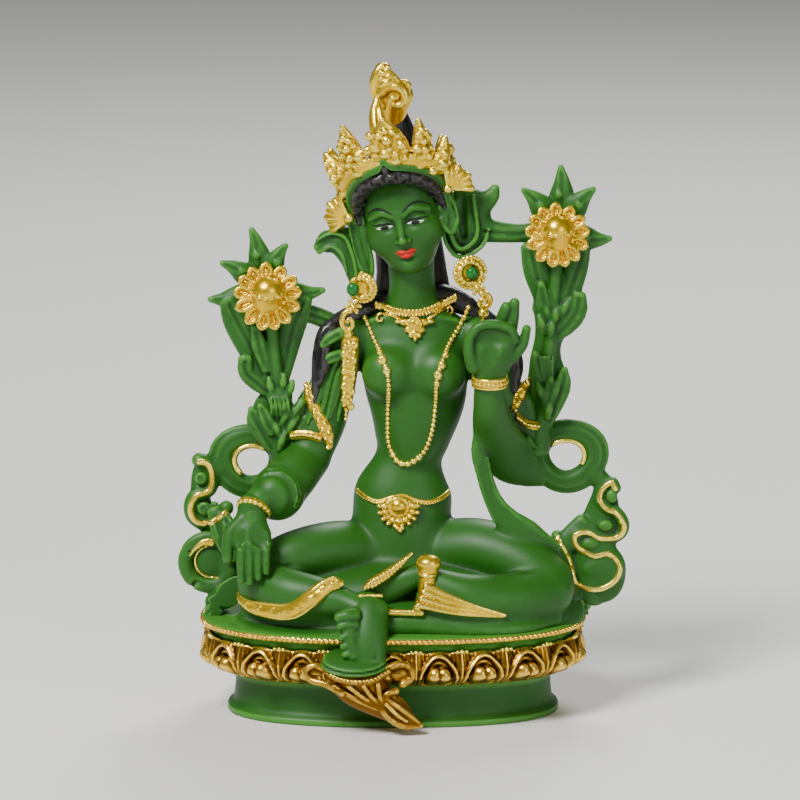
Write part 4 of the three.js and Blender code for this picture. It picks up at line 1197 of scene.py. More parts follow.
def hair_band():
    """The green band between the hair and the crown, which rises to a point in the middle."""
    clay = Clay((-13, -13, -7), (13, 6, 19), 0.28)
    half = [
        [-10.1, -2.2, -2.4, 0.5, 0.6], [-10.5, -2.8, 2.4, 0.7, 0.7], [-9.8, -4.6, 7.8, 0.9, 0.8],
        [-7, -7.6, 11.9, 0.9, 0.8], [-3.6, -9.6, 13.9, 0.85, 0.8], [-1.4, -10.4, 14.7, 0.75, 0.8],
        [0, -10.8, 16.4, 0.5, 0.7],
    ]
    clay.tube(arch(half), blend=0.2, facing=(0, -1, 0.3), steps=6)
    for grow, drop, size in ((0.97, -0.6, 0.28), (1.02, 0.6, 0.25)):
        lip = [[x * grow, y - 0.5, z + drop, size] for x, y, z, *_ in half]
        clay.tube(arch(lip), blend=0.15, steps=6)
    return clay


def lock_knots():
    """Two green folds that tie the lock on the shoulder."""
    clay = Clay((-19, -7, 55), (-7, 3, 69), 0.34)
    blade(clay, [[-15.8, -2.6, 62.6, 0.8, 0.8], [-14.4, -3, 64, 1.3, 1], [-11.8, -2.6, 65.4, 1.3, 1]])
    blade(clay, [[-15.4, -2.8, 58.8, 0.8, 0.8], [-14.2, -3.2, 59.6, 1.3, 1], [-11.8, -2.6, 60.4, 1.2, 1]])
    return clay


def make_hair():
    piece("lock_knots", lock_knots(), GREEN)
    piece("front_hair", front_hair(), BLACK, head_place, reach=0.12)
    piece("loose_hair", loose_hair(), BLACK, reach=0.2)
    piece("hair_band", hair_band(), GREEN, head_place, reach=0.12)


# Crown and finial, in the head's frame


def crown_place(degrees, above, outset=0.0):
    """A place on the crown, an angle round from the brow, some way above its lower edge."""
    angle = math.radians(degrees)
    reach = 11 + outset + above * 0.14
    return [reach * math.sin(angle), 1.6 - reach * math.cos(angle), 4.4 + 11 * math.cos(angle) + above]


def away(degrees):
    """The level direction out from the head, an angle round from the brow."""
    angle = math.radians(degrees)
    return np.array((math.sin(angle), -math.cos(angle), 0.0))


def crown_leaf(clay, degrees, height, wide):
    """A thick pointed leaf with a smooth back and tip, and coarse grains over its front."""
    facing = unit(away(degrees * 0.7) + (0, 0, 0.12))
    plate = (
        (0.4, wide * 0.8, 1.2), (height * 0.3, wide, 1.4), (height * 0.62, wide * 0.8, 1.3),
        (height * 0.86, wide * 0.46, 1), (height, 0.6, 0.6),
    )
    rows = [[*crown_place(degrees, above), across, deep] for above, across, deep in plate]
    clay.tube(rows, blend=0.2, facing=facing, steps=6)
    path = through(rows, 8)
    _, side, _ = axes_along(path, facing)
    for k, (share, count) in enumerate(((0.04, 4), (0.19, 4), (0.34, 3), (0.48, 3), (0.6, 2), (0.71, 1))):
        at = int(share * (len(path) - 1))
        for i in range(count):
            column = i - (count - 1) / 2
            across = column * 2 / max(count, 2) * path[at, 3] * 0.95
            size = (1.15 - 0.4 * share) * (1 + 0.22 * math.sin(3.1 * k + 2.3 * i + degrees))
            spot = path[at, :3] + side[at] * across + facing * path[at, 4] * (1.0 - 0.35 * abs(column))
            clay.ball(spot + (0, 0, 0.35 * math.sin(2 * i + k)), size, blend=0.2)


FAN_RIBS = 7


def fan(clay, centre, middle, spread, length):
    """A half-open rosette at the temple, with fat ribs that spread from a small knob."""
    side = 1 if centre[0] > 0 else -1
    centre = np.array(centre, float)
    across, rise, facing = plane((side * 0.3, -0.95, 0.1))
    for k in range(FAN_RIBS):
        turn = math.radians(middle + (k - FAN_RIBS // 2) * spread / (FAN_RIBS - 1))
        out = spoke(turn, across, rise)
        reach = length * (1 - 0.08 * (k % 2))
        rib = ((0.6, 1.1, 0.4), (reach * 0.6, 1.2, 0.62), (reach - 0.8, 0.5, 0.9))
        web = ((1, -0.9, 0.8), (reach - 2, -0.9, 0.9))
        for stations, blend in ((rib, 0.04), (web, 0.3)):
            rows = [[*(centre + out * far + facing * lift), size] for far, lift, size in stations]
            clay.tube(rows, blend=blend)
    clay.ball(centre + facing * 1.0, 1.1, blend=0.1)


def finial(clay):
    clay.tube([[1.2, 1.4, 17.6, 2.2], [2.4, 1.4, 22, 2.4], [3.6, 1.4, 25, 2.8]], blend=0.3, steps=6)
    clay.ball((4.0, 1.2, 27.2), (3.8, 2.6, 3.7), blend=0.4)
    clay.tube([[2.8, 1.4, 30, 2.8, 2], [2.4, 1.4, 32.2, 2.1, 1.6],
               [2.6, 1.4, 34, 1.7, 1.4]], blend=0.4, steps=6)
    spiral(clay, (4.2, -1.2, 27.3), (0, -1, 0.1), 150, 3.3, 1.05, 1.1, hand=-1)
    clay.tube([[0.7, -0.2, 25.8, 0.9], [0.2, -0.3, 28.8, 1.1], [0.5, -0.2, 31.6, 1.2], [1.7, 0, 33.9, 1.0],
               [2.8, 0.4, 35, 0.7]], blend=0.2)
    clay.tube([[6.6, -0.2, 28.6, 1.1], [7.2, 0, 29.8, 0.9], [5.8, 0, 30.4, 0.8]], blend=0.3)
    clay.tube([[5.6, -0.6, 30.4, 0.8], [4.8, -0.4, 31.8, 0.9], [3.6, 0, 33.8, 0.8]], blend=0.2)
    clay.tube([[1.8, -1, 30.8, 0.7], [3.2, -1.2, 31.3, 0.8], [4.6, -1, 30.9, 0.6]], blend=0.15)
    for x, z in ((2.2, 32.2), (3.6, 32.4), (2.7, 33.4)):
        clay.ball((x, -0.7, z), 0.75, blend=0.15)
    leaf = [[0.2, -7.6, 20.4, 2, 1.2], [0, -6.2, 23.4, 1.9, 1.2], [0.1, -4.4, 26.2, 1.5, 1],
            [0.6, -3.2, 28.4, 0.8]]
    clay.tube(leaf, blend=0.2, steps=6)
    clay.tube([[0.5, -8.2, 21.6, 0.3], [0.4, -6.8, 24.4, 0.4], [0.5, -5, 27, 0.3]], blend=0.3, cut=True)


# Leaves: degrees round from the brow, height and half width
CROWN_LEAVES = ((9, 10.2, 4.4), (-34, 11.8, 3.1), (45, 11, 2.4), (-72, 10.8, 3.0), (75, 9.4, 2.9))
# Knobs: degrees round from the brow, height above the crown's lower edge and radius
CROWN_KNOBS = (
    (-12, 4.2, 1.1), (-4, 5, 1.2), (-6, 7.4, 1.1), (-64, 3.4, 1), (-70, 6, 1), (-86, 3, 1), (-88, 6, 1),
    (-92, 0.4, 1), (60, 3.4, 0.9), (84, 2.4, 0.9), (86, 5, 0.9),
)
CROWN_ROSES = (-58, -21, 20, 57)


def crown():
    clay = Clay((-19, -15, -1), (19, 15, 37.5), 0.275)
    angles = range(-88, 89, 22)
    for above, inset in ((1.2, 0), (-0.6, -0.5)):
        clay.tube([[*crown_place(a, above, inset), 1.7, 0.9] for a in angles], blend=0.3, facing=UP, steps=6)
    fine = np.arange(-92, 93, 4)
    clay.tube([[*crown_place(a, 0.5, 0.8), 0.85, 1.1] for a in angles], blend=0.2, facing=UP, steps=6)
    for above, outset, radius in ((2, 1.1, 0.45), (3.4, 0.8, 0.62)):
        clay.beads(through([crown_place(a, above, outset) for a in fine], 1), radius, radius * 1.9)
    for degrees, height, wide in CROWN_LEAVES:
        crown_leaf(clay, degrees, height, wide)
    for degrees, above, size in CROWN_KNOBS:
        clay.ball(np.array(crown_place(degrees, above, 0.9)), size, blend=0.15)
    for degrees in CROWN_ROSES:
        base = np.array(crown_place(degrees, 1.6, 0.8))
        clay.ball(base, 0.9, blend=0.15)
        for turn in np.linspace(0, 2 * np.pi, 6)[:-1]:
            across = np.cross(away(degrees), UP)
            clay.ball(base + 1.05 * spoke(turn, across, UP), 0.45, blend=0.1)
        clay.ball(np.array(crown_place(degrees, 4.2, 0.4)), 0.75, blend=0.15)
    for rows in (
        [[10.8, -6, 11.4, 2, 1.4], [12, -5, 14, 1.7, 1.3], [13, -4, 16.8, 0.8, 0.9]],
        [[-10.8, -4.6, 13.2, 2.2, 1.4], [-12, -3.8, 15.8, 1.9, 1.3], [-12.8, -3.2, 17.8, 1.0, 0.9]],
    ):
        clay.tube(rows, blend=0.4, steps=6)
        for k in range(5):
            x, y, z = np.array(rows[0][:3]) + (np.array(rows[2][:3]) - rows[0][:3]) * k / 5
            sway = 1.4 * (0.5 if k % 2 else -1) * (1 - k / 8)
            clay.ball((x + sway, y - 1.1, z - 0.6), 1.0 - 0.08 * k, blend=0.2)
    fan(clay, (-10.8, -3.4, 2.6), 158, 104, 6.2)
    fan(clay, (10.9, -3.4, 5.2), 34, 100, 6)
    finial(clay)
    return clay


def make_crown():
    piece("crown", crown(), GOLD, head_place, reach=0.16)


# Flowers, their stars of leaves and their stalks

FLOWER_FACING = (0, -0.97, 0.24)
FLOWER_PETALS = 13
FLOWER_LEAN = 46  # degrees by which the button leans up
BUTTON_BEADS = 15
BUTTON_GRAINS = 26
GRAIN_TURN = 2.4  # the turn from one grain to the next, in radians


def flower_head(radius):
    """Cupped petals with raised edges round a button that leans up and forward."""
    clay = Clay((-9.4, -5, -9.4), (9.4, 3, 9.4), 0.23)
    clay.ball((0, 1, 0), (radius * 0.75, 0.9, radius * 0.75), blend=0.2)
    for k in range(FLOWER_PETALS):
        turn = 2 * math.pi * (k + 0.3 + 0.12 * math.sin(5 * k)) / FLOWER_PETALS
        out = spoke(turn, ACROSS, UP)
        beside = np.array((-math.sin(turn), 0, math.cos(turn)))
        length = radius * (0.25, 0.29, 0.27)[k % 3]
        middle = out * (radius - length) + (0, 0.3 - 0.5 * (k % 2), 0)
        tilt = (0, -math.degrees(turn), 0)
        clay.ball(middle + (0, 0.5, 0), (length, 0.5, radius * 0.18), tilt=tilt, blend=0.15)
        loop = [
            middle + out * length * math.cos(t) + beside * radius * (0.15 + 0.03 * math.cos(t)) * math.sin(t)
            for t in np.linspace(0, 2 * math.pi, 11)
        ]
        clay.tube(thick(np.array(loop) + (0, -0.4, 0), 0.55), blend=0.1, steps=1)
        vein = (middle - out * length * 0.5 + (0, 0.1, 0), middle + out * length * 0.4 + (0, 0.1, 0))
        clay.tube(sized(vein, 0.34, 0.3), blend=0.15)
    lean = math.radians(FLOWER_LEAN)
    axis = np.array((0, -math.cos(lean), math.sin(lean)))
    rise = np.array((0, math.sin(lean), math.cos(lean)))
    wide = radius * 0.5
    top = axis * 1.5
    button = [[0, 0.4, -0.9, wide * 0.94], [*(axis * 0.8), wide], [*top, wide]]
    clay.tube(button, blend=0.2, steps=3, facing=UP)
    for k in range(BUTTON_BEADS):
        turn = 2 * math.pi * k / BUTTON_BEADS
        around = spoke(turn, ACROSS, rise)
        clay.ball(top + around * wide * 0.94 + axis * 0.7, 0.58 + 0.12 * math.sin(4 * k), blend=0.15)
    for k in range(BUTTON_GRAINS):
        reach = wide * 0.8 * math.sqrt(k / BUTTON_GRAINS)
        turn = k * GRAIN_TURN
        dome = wide * 0.12 * math.sqrt(max(0, 1 - (reach / wide) ** 2)) + 0.75
        spot = top + np.array((math.cos(turn), 0, 0)) * reach + rise * reach * math.sin(turn) + axis * dome
        clay.ball(spot, 0.5, blend=0.25)
    return clay


def star(clay, centre, tips, wide=1.0):
    """Fleshy pointed leaves behind a flower."""
    x, y, z = centre
    for i, (tip_x, tip_z) in enumerate(tips):
        tip = np.array((tip_x, y + 3.2 - 1.4 * (i % 2), tip_z))
        root = np.array((x, y + 3.8, z))
        bow = np.cross(unit(tip - root), FRONT) * (0.7, -0.6, 0.5)[i % 3]
        half = root + (tip - root) * 0.55 + (0, -0.3, 0) + bow
        near = root + (tip - root) * 0.8 + (0, -0.2, 0) + bow * 0.8
        rows = [[*root, 2.6 * wide, 1.5], [*half, 2.6 * wide, 1.5], [*near, 1.55 * wide, 1.2],
                [*tip, 0.75, 0.7]]
        blade(clay, rows, blend=0.5)
        clay.ball(half + (0.9 * math.sin(i * 2), -1.1, 0.6), 0.9, blend=0.8)


def left_plant():
    clay = Clay((-45, -8, 34), (-10, 5, 92), 0.39)
    star(clay, (-29, -5, 75.1), [[-15.8, 75], [-24.2, 85.4], [-31.8, 88.8], [-38.4, 81.4], [-41.2, 72.9]])
    clay.tube([[-28.2, -2.4, 73, 1.6], [-27.2, -2.6, 65, 1.4], [-26.2, -2.2, 55, 1.5], [-26, -0.4, 44, 2],
               [-26, 0, 36, 1.9, 2.2]])
    sheath = [[-28.9, 0.4, 72, 8, 1.3], [-28.6, 0.4, 65, 6.6, 1.5], [-28.6, 0.4, 60, 5.6, 1.6],
              [-27.6, 0.4, 55.4, 4.6, 1.7], [-26.4, 0.6, 51.8, 3.2, 1.8], [-27, 0.4, 47, 5, 1.8],
              [-26.6, 0.4, 43, 4.4, 1.9], [-25, 0.4, 37.6, 3, 2]]
    clay.tube(sheath, blend=0.6, steps=6)
    for k in range(4):
        x = -34 + k * 3.4
        clay.tube([[x, -1.6, 70, 0.5], [x * 0.7 - 8.6, -1.8, 62, 0.6],
                   [x * 0.4 - 16.6, -1.8, 54, 0.4]], blend=0.6)
    for rows in (
        [[-37.2, -2.8, 73, 2.2, 0.9], [-35.2, -1.8, 68.4, 3.4, 1.1], [-32, -1.4, 61.6, 3.2, 1.2],
         [-28.6, -1.2, 53, 1.8, 1]],
        [[-20, -2.8, 73.4, 2, 0.9], [-21.6, -2.4, 69.4, 2.8, 1], [-23.2, -1.4, 64.6, 2.9, 1.2],
         [-25, -1.2, 54.4, 1.6, 1]],
        [[-33.4, -3.2, 59.6, 1.6, 1], [-33.2, -2.4, 56.4, 1.9, 1.1], [-30.6, -1.4, 53.6, 2, 1.2],
         [-27.6, -1, 51, 1.2, 1]],
        [[-31.2, -3, 66.6, 1.1, 0.9], [-30.2, -3, 62.4, 1.8, 1.0], [-28.6, -2.4, 57, 1.2, 0.9]],
        [[-32.2, -2.2, 47.8, 0.7, 0.7], [-31.2, -2.2, 45.4, 2.2, 1], [-28.8, -1.6, 41, 2, 1],
         [-27, -0.8, 37.6, 0.9, 0.9]],
        [[-30, -3, 48.6, 0.8, 0.8], [-28.8, -3.2, 46, 1.6, 0.9], [-27.4, -2.4, 42.4, 1.2, 0.9]],
        [[-20.6, -2.4, 49.6, 0.9, 0.8], [-22.4, -2.6, 46.8, 1.6, 1], [-25, -1.8, 42.6, 1.5, 1]],
        [[-19.8, -1.6, 45.8, 0.8, 0.8], [-22, -2, 43.8, 1.5, 1], [-25, -1.4, 40.6, 1.2, 1]],
    ):
        blade(clay, rows)
    clay.ball((-25.6, -2.4, 50.6), (2.9, 1.8, 3), blend=0.5)
    for k in range(5):
        x = -27.4 + k * 0.95
        clay.tube([[x - 0.3, -4.2, 50.6, 0.36], [x, -4.3, 48.6, 0.44],
                   [x + 0.1, -3.4, 46.6, 0.36]], blend=0.2)
    clay.tube(thick(circle((-25.6, -3.4, 52.2), (0, -1, 0.3), 1.9, 10, 350, 17), 0.5), blend=0.2, steps=1)
    for x, z, lean in ((-27.2, 53.4, -0.8), (-25, 54.2, 0.3), (-23.6, 52.8, 0.9)):
        clay.tube([[x, -3.2, z - 1.4, 0.7], [x + lean * 0.6, -3.6, z, 0.9],
                   [x + lean, -3.4, z + 1.6, 0.6]], blend=0.25)
    for x, z, lean in (
        (-24.6, 46.4, 1.6), (-26.2, 43.6, -1.2), (-22.6, 47.4, 1.8), (-23.2, 44.4, 1.6), (-25.4, 40.6, 0.8),
    ):
        stroke = [[x - lean * 0.4, -2.6, z - 2, 0.6], [x + lean * 0.2, -3.2, z, 0.85],
                  [x + lean, -3, z + 1.6, 0.55]]
        clay.tube(stroke, blend=0.3)
    blade(clay, [[-26, 0.6, 69.6, 2.8, 1.4], [-19.4, 0.2, 69.4, 2.2, 1.3],
                 [-12, 2.4, 66, 2.2, 1.6]], blend=0.8)
    return clay


def right_plant():
    clay = Clay((24, -8, 36), (51, 5, 105.4), 0.39)
    star(clay, (37.2, -5, 88.5), [[48.8, 86.8], [45, 98.2], [37.7, 103], [29.4, 98]], 1.12)
    clay.tube([[37, -2.4, 86, 1.6], [36.6, -2.8, 78, 1.5], [36.2, -2, 70, 1.4], [35, -1, 58, 1.6],
               [34, -0.4, 46, 2], [33, 0.4, 38, 2.4, 2]])
    sheath = [[36.8, 0.4, 85, 7.6, 1.3], [36.6, 0.4, 78.6, 6.2, 1.5], [35.9, 0.4, 75.6, 4.6, 1.6],
              [37, 0.4, 70.4, 5.6, 1.7], [35.2, 0.4, 63.4, 3.2, 1.8], [34.6, 0.6, 58.8, 3.6, 1.8],
              [35, 0.6, 53.4, 4.6, 1.9], [33.6, 1, 44, 3, 2], [32.6, 1.2, 38.6, 3, 2.2]]
    clay.tube(sheath, blend=0.6, steps=6)
    for k in range(4):
        x = 32.4 + k * 3
        clay.tube([[x, -1.6, 84, 0.5], [x * 0.6 + 14.6, -1.8, 76, 0.6],
                   [x * 0.3 + 25.6, -1.8, 66, 0.4]], blend=0.6)
    for rows in (
        [[31, -2.8, 85.4, 2.4, 0.9], [32.2, -2.4, 79.6, 2.9, 1.1], [34, -1.8, 72, 1.8, 1]],
        [[42.8, -2.8, 84.8, 1.8, 0.9], [41.6, -2.8, 80.6, 2.5, 1], [39.6, -2.2, 74, 2.5, 1.1],
         [37.4, -1.8, 67, 1.4, 1]],
        [[42, -3.2, 74.2, 1.6, 0.9], [41.4, -2.8, 70.4, 2.5, 1], [39.2, -2, 67, 2.3, 1.1],
         [36.8, -1.4, 64.4, 1.4, 1]],
        [[33.4, -3.4, 76.6, 1, 0.9], [34, -3.2, 72.6, 1.7, 1], [35, -2.4, 68, 1.1, 0.9]],
        [[38.8, -3, 57, 0.8, 0.8], [38.4, -2.6, 53.6, 2, 1], [36.8, -1.8, 48.6, 1.8, 1],
         [35, -0.8, 43.6, 0.9, 0.9]],
        [[32.2, -2.4, 60.4, 0.9, 0.9], [33.4, -2.4, 56, 2, 1.1], [34.6, -1.6, 50, 1.2, 1]],
        [[35.6, -3.2, 55, 0.8, 0.8], [35.4, -3.2, 51.6, 1.6, 0.9], [34.4, -2, 46.6, 1.1, 0.9]],
    ):
        blade(clay, rows)
    for x, z, lean in (
        (34.8, 70.6, -0.8), (36.6, 69.6, 0.6), (38.4, 71.2, 1.4), (35.6, 66.8, 0.5), (33.8, 67.6, -0.8),
        (36.6, 52.4, 0.9), (33.6, 52.2, -0.9), (35.2, 48, 0.4),
    ):
        stroke = [[x - lean * 0.4, -2.6, z - 2, 0.7], [x + lean * 0.2, -3.3, z, 1.0],
                  [x + lean, -3.1, z + 1.8, 0.6]]
        clay.tube(stroke, blend=0.3)
    for k in range(4):
        clay.tube([[33.4 + k * 0.9, -3.4, 60, 0.35], [33.8 + k * 0.7, -3, 54.6, 0.35]], blend=0.3)
    return clay


def make_plants():
    piece("left_plant", left_plant(), GREEN, reach=0.22)
    piece("right_plant", right_plant(), GREEN, reach=0.22)
    piece("left_flower", flower_head(7.3), GOLD, turned_place((-28.2, -5.6, 74.2), FLOWER_FACING), reach=0.2)
    piece("right_flower", flower_head(6.9), GOLD, turned_place((36.9, -5.6, 88.2), FLOWER_FACING), reach=0.2)


# Scarves: a loop, small folds and a lower loop on each side


def hoop(clay, centre, start, end, stretch):
    """An open loop of scarf with soft folds that run round it, wider at one side."""
    x, y, z = centre
    turns = np.radians(np.linspace(start, end, 29))

    def round_at(reach, forward):
        rows = []
        for t in turns:
            wide = reach * (1 + stretch * (reach / 9) * -math.cos(t) + 0.03 * math.sin(3 * t))
            rows.append([x + wide * math.cos(t), y - forward, z + wide * 0.9 * math.sin(t)])
        return rows

    folds = ((6.6, 0, 2.7, 1.5, 0.5), (5.6, 0.9, 0.9, 0.8, 0.5), (7.5, 0.8, 0.7, 0.7, 0.5),
             (8.9, 0.3, 0.5, 0.8, 0.4))
    for reach, forward, wide, deep, blend in folds:
        clay.tube(thick(round_at(reach, forward), wide, deep), blend=blend, steps=1)
    return round_at(4.2, 1.2)


LEFT_CURL = [
    [-44.2, 35.1], [-42, 34.2], [-41.1, 30.9], [-42, 28.1], [-44.7, 27.2], [-46, 24.9], [-45.6, 22.1],
    [-43.3, 20.5], [-40.6, 21.9], [-37.9, 24],
]
RIGHT_CURL = [
    [50.6, 28.6], [49.7, 30], [47.4, 28.1], [47.2, 25.8], [48.8, 24], [50.6, 23.3], [52.4, 20.8],
    [52.4, 18.7], [51, 17.3], [46.9, 17.3], [44.2, 18.7], [41.5, 18], [41.5, 16.1], [43.3, 14.3],
    [46, 13.1], [48.8, 13.6], [51, 12], [51.7, 10.1], [50.6, 7.4], [47.4, 5.5], [43.8, 5.7], [41.5, 7.4],
    [40.6, 10.6], [39.2, 14.3], [37.4, 17.5],
]


def cloth_along(clay, curl, wide=1.7):
    """Rounded cloth under a curling gold edge."""
    rows = [[x, 2.0 + 0.5 * math.sin(i), z, wide, 1.6] for i, (x, z) in enumerate(curl)]
    clay.tube(rows, blend=0.6, steps=4)


def left_scarf():
    clay = Clay((-50.5, -4, -1.5), (-22, 7.4, 46), 0.41)
    rim = hoop(clay, (-31.6, 3, 34.8), -60, 300, 0.13)
    clay.tube([[-28, 2.6, 40.4, 2.2, 1.6], [-25.6, 2, 38, 1.8, 1.6]], blend=0.6)
    clay.tube([[-39, 3, 33, 2, 1.6], [-43, 3, 33.6, 2, 1.6], [-44, 3, 27, 2.2, 1.8],
               [-43, 2.8, 22, 2.6, 1.8]], blend=0.6)
    cloth_along(clay, LEFT_CURL)
    for x, z, size in ((-43.7, 31.2, 1.5), (-43, 24.2, 1.6), (-40.6, 25, 1)):
        clay.ball((x, 0.2, z), (size, 0.7, size), blend=0.2)
        clay.ball((x - 0.3, -0.5, z + 0.3), (size * 0.5, 0.4, size * 0.5), blend=0.2, cut=True)
    clay.ball((-42.2, 2.4, 11.4), (6.4, 2.2, 7), blend=0.5)
    clay.tube([[-43, 2.8, 21, 2.6, 1.8], [-39, 2.4, 19, 3, 1.9], [-37, 1.4, 14, 3, 2.4],
               [-39, 1.4, 3, 2.4, 2.4]], blend=0.6)
    clay.tube(thick(circle((-41.8, -0.2, 11.8), FRONT, 5.6, 40, 340), 1.7, 1.1), blend=0.5)
    clay.ball((-41.2, 0.2, 12.1), (3.5, 0.8, 3.6), blend=0.2)
    clay.tube([[-48.6, 0.2, 14.6, 0.25], [-45.8, -1.2, 14.4, 0.3]], blend=0.4, cut=True)
    clay.tube([[-46.4, 0.2, 5.4, 0.35], [-44.8, -1.2, 7.4, 0.4],
               [-42.8, -1.4, 6.8, 0.3]], blend=0.5, cut=True)
    for rows in (
        [[-40.6, -1, 24, 1.8, 1.1], [-38.8, -3, 18.4, 2.2, 1.2], [-36.4, -4, 13.6, 1.6, 1]],
        [[-38.4, -2, 23.4, 1.2, 1], [-36.6, -4, 19.4, 1.8, 1.1], [-35.6, -5, 14.4, 1.2, 1]],
    ):
        blade(clay, rows, groove=0.45)
    for k in range(3):
        fold = [[-33.6 - 0.4 * k, -9.9 + k, 10.4 - 2.6 * k, 0.7],
                [-37 - 0.6 * k, -7.7 + k, 7 - 2.6 * k, 1.05],
                [-41.4 - 0.8 * k, -3.9 + k, 3.8 - 2.1 * k, 0.8]]
        clay.tube(fold, blend=0.25, steps=6)
    clay.tube([[-34, -6, 8.6, 2.4, 2.2], [-38, -3, 4.6, 3, 2], [-41, -1, 2.4, 2.2, 1.8]], blend=0.8)
    return clay, rim


def right_scarf():
    clay = Clay((30, -4, -1.5), (54.4, 7.4, 46), 0.41)
    rim = hoop(clay, (39.2, 3, 36), -190, 170, -0.07)
    clay.tube([[45, 3, 32.6, 2.2, 1.7], [48, 3, 29, 2.4, 1.8], [47.6, 2.8, 22, 4.2, 1.8],
               [46, 2.4, 15, 4.8, 2.1]], blend=0.6)
    clay.tube([[46, 2.2, 14, 4.8, 2], [46, 2, 8, 5, 2.2], [44.4, 2, 3.6, 4, 2.2]], blend=0.6)
    clay.tube([[37.6, 0.4, 14.6, 2, 1.6], [40.6, 1.6, 17, 2.8, 1.6], [44, 2, 20, 3, 1.6]], blend=0.8)
    cloth_along(clay, RIGHT_CURL, 1.4)
    for x, z, wide, high in (
        (49.8, 27, 1.3, 1.6), (45, 15.9, 2, 1.4), (48.4, 20.2, 1.7, 1.3), (46.4, 9.8, 3.4, 2.6),
    ):
        clay.ball((x, 0.5, z), (wide, 1, high), blend=0.3)
    clay.ball((48, 2.2, 8.8), (5.2, 2.3, 7), blend=0.6)
    clay.tube([[52.6, 0.8, 13.6, 0.35], [51, -0.4, 9.6, 0.4], [52.4, 0.4, 5.6, 0.35]], blend=0.5, cut=True)
    clay.tube([[46.6, 0, 4.2, 0.35], [48.4, -0.2, 2.6, 0.45], [49.6, 0.4, 1.6, 0.3]], blend=0.5, cut=True)
    clay.tube([[36.8, -1.4, 15, 2, 1.8], [38, -1, 9, 3, 2.4], [40, 0.6, 3.4, 3, 2.4]], blend=0.8)
    return clay, rim


# Gold arcs on the lower left loop: x, z and half width
LEFT_ARCS = (
    [[-40.9, 16.6, 1.0], [-43, 16.6, 0.9], [-45, 15.2, 0.6], [-46.2, 13.6, 0.3]],
    [[-42.4, 15.6, 0.3], [-44.5, 14, 0.42], [-45.2, 12, 0.42], [-44.4, 9.6, 0.42], [-42.2, 8.2, 0.42],
     [-39.8, 8.2, 0.3]],
)


def scarf_edges(low, high, scarf, rim, rim_size, curl, curl_wide, arcs=()):
    """Gold round a loop's inner rim, along its curling edge and on its arcs."""
    clay = Clay(low, high, 0.3)
    clay.tube(thick(rim, rim_size), blend=0.1, steps=1)
    front = surface_of(scarf)
    clay.strip(lay(front, flat_curve([[*row, curl_wide] for row in curl])), 0.5, blend=0.2)
    for arc in arcs:
        clay.strip(lay(front, flat_curve(arc)), 0.45, blend=0.2)
    return clay


def make_scarves():
    left, left_rim = left_scarf()
    right, right_rim = right_scarf()
    piece("left_scarf", left, GREEN, reach=0.24)
    piece("right_scarf", right, GREEN, reach=0.24)
    edges = scarf_edges((-50.5, -4, 2), (-22, 7.4, 46), left, left_rim[9:23], 0.7, LEFT_CURL, 0.75, LEFT_ARCS)
    piece("left_scarf_edges", edges, GOLD)
    edges = scarf_edges((30, -4, 2), (54.4, 7.4, 46), right, right_rim[13:26], 0.6, RIGHT_CURL, 0.68)
    piece("right_scarf_edges", edges, GOLD)


# Ribbons behind the ears


def ear_ribbons():
    clay = Clay((-21, -4, 73), (36, 7, 101), 0.42)
    clay.tube([[-5, 1, 86.4, 2.8, 1.4], [-10.8, 0.8, 86.2, 2.8, 1.4], [-15.2, 1, 85.6, 2.6, 1.2]], steps=6)
    clay.tube([[-12.4, 0.6, 85.6, 2.6, 1.3], [-9.6, 0.2, 82.4, 2.7, 1.4], [-8, 0.2, 77, 2, 1.5]], steps=6)
    clay.tube([[-15.2, 0.6, 86.4, 1.8, 1.1], [-16.8, 0.2, 84.2, 1.4, 0.9]], blend=0.4)
    clay.tubes((
        [[-17.2, -0.6, 86.2, 0.45], [-14, -0.8, 87.8, 0.5], [-11, -1, 87, 0.5], [-9.2, -1.3, 83, 0.5],
         [-8.2, -1.3, 78, 0.45]],
        [[-16.8, -0.5, 83.2, 0.45], [-14, -0.6, 84.8, 0.5], [-11.6, -1, 83.2, 0.5], [-10.4, -1.1, 79, 0.45]],
    ), blend=0.35)
    clay.tube([[-15.8, -1, 85.6, 0.5], [-12.6, -1.4, 85.8, 0.6], [-10.4, -1.6, 83.2, 0.6],
               [-9.3, -1.6, 79, 0.5]], blend=0.4, cut=True)
    clay.tube([[16, 1, 84.8, 3.8, 2.2], [16.4, 1, 88, 5, 2.2], [17, 1.2, 92, 5.2, 2],
               [17.8, 1.4, 96.2, 4.2, 1.6]], steps=6)
    clay.tube([[19.4, 0.8, 93, 2.4, 1.4], [22.4, 0.6, 96.4, 1.8, 1.2], [23, 0.8, 97.8, 1.1, 1]], blend=0.5)
    clay.tubes((
        [[13.2, -1.2, 97, 0.55], [12.7, -1.5, 89, 0.6], [15.2, -1.6, 84.4, 0.6], [18.8, -1.5, 87, 0.6],
         [18.1, -1.2, 96.4, 0.55]],
        [[11.8, -0.6, 93, 0.5], [11.6, -0.8, 86.6, 0.5], [14.8, -1, 82.4, 0.55], [20, -0.9, 84.8, 0.5],
         [21.6, -0.6, 88.4, 0.5]],
    ), blend=0.3)
    clay.tube([[15.6, -1.8, 98.4, 1.4, 2], [15.5, -2, 92, 1.5, 2.2],
               [16, -1.8, 87.4, 1, 1.6]], blend=0.5, cut=True)
    blade(clay, [[19, 1.2, 88.4, 3, 1.5], [26, 1.2, 87.6, 2.3, 1.4], [30, 1, 87.6, 2.2, 1.4],
                 [34, 0.8, 88, 2.6, 1.4]], blend=0.8)
    return clay


# Gold jewellery

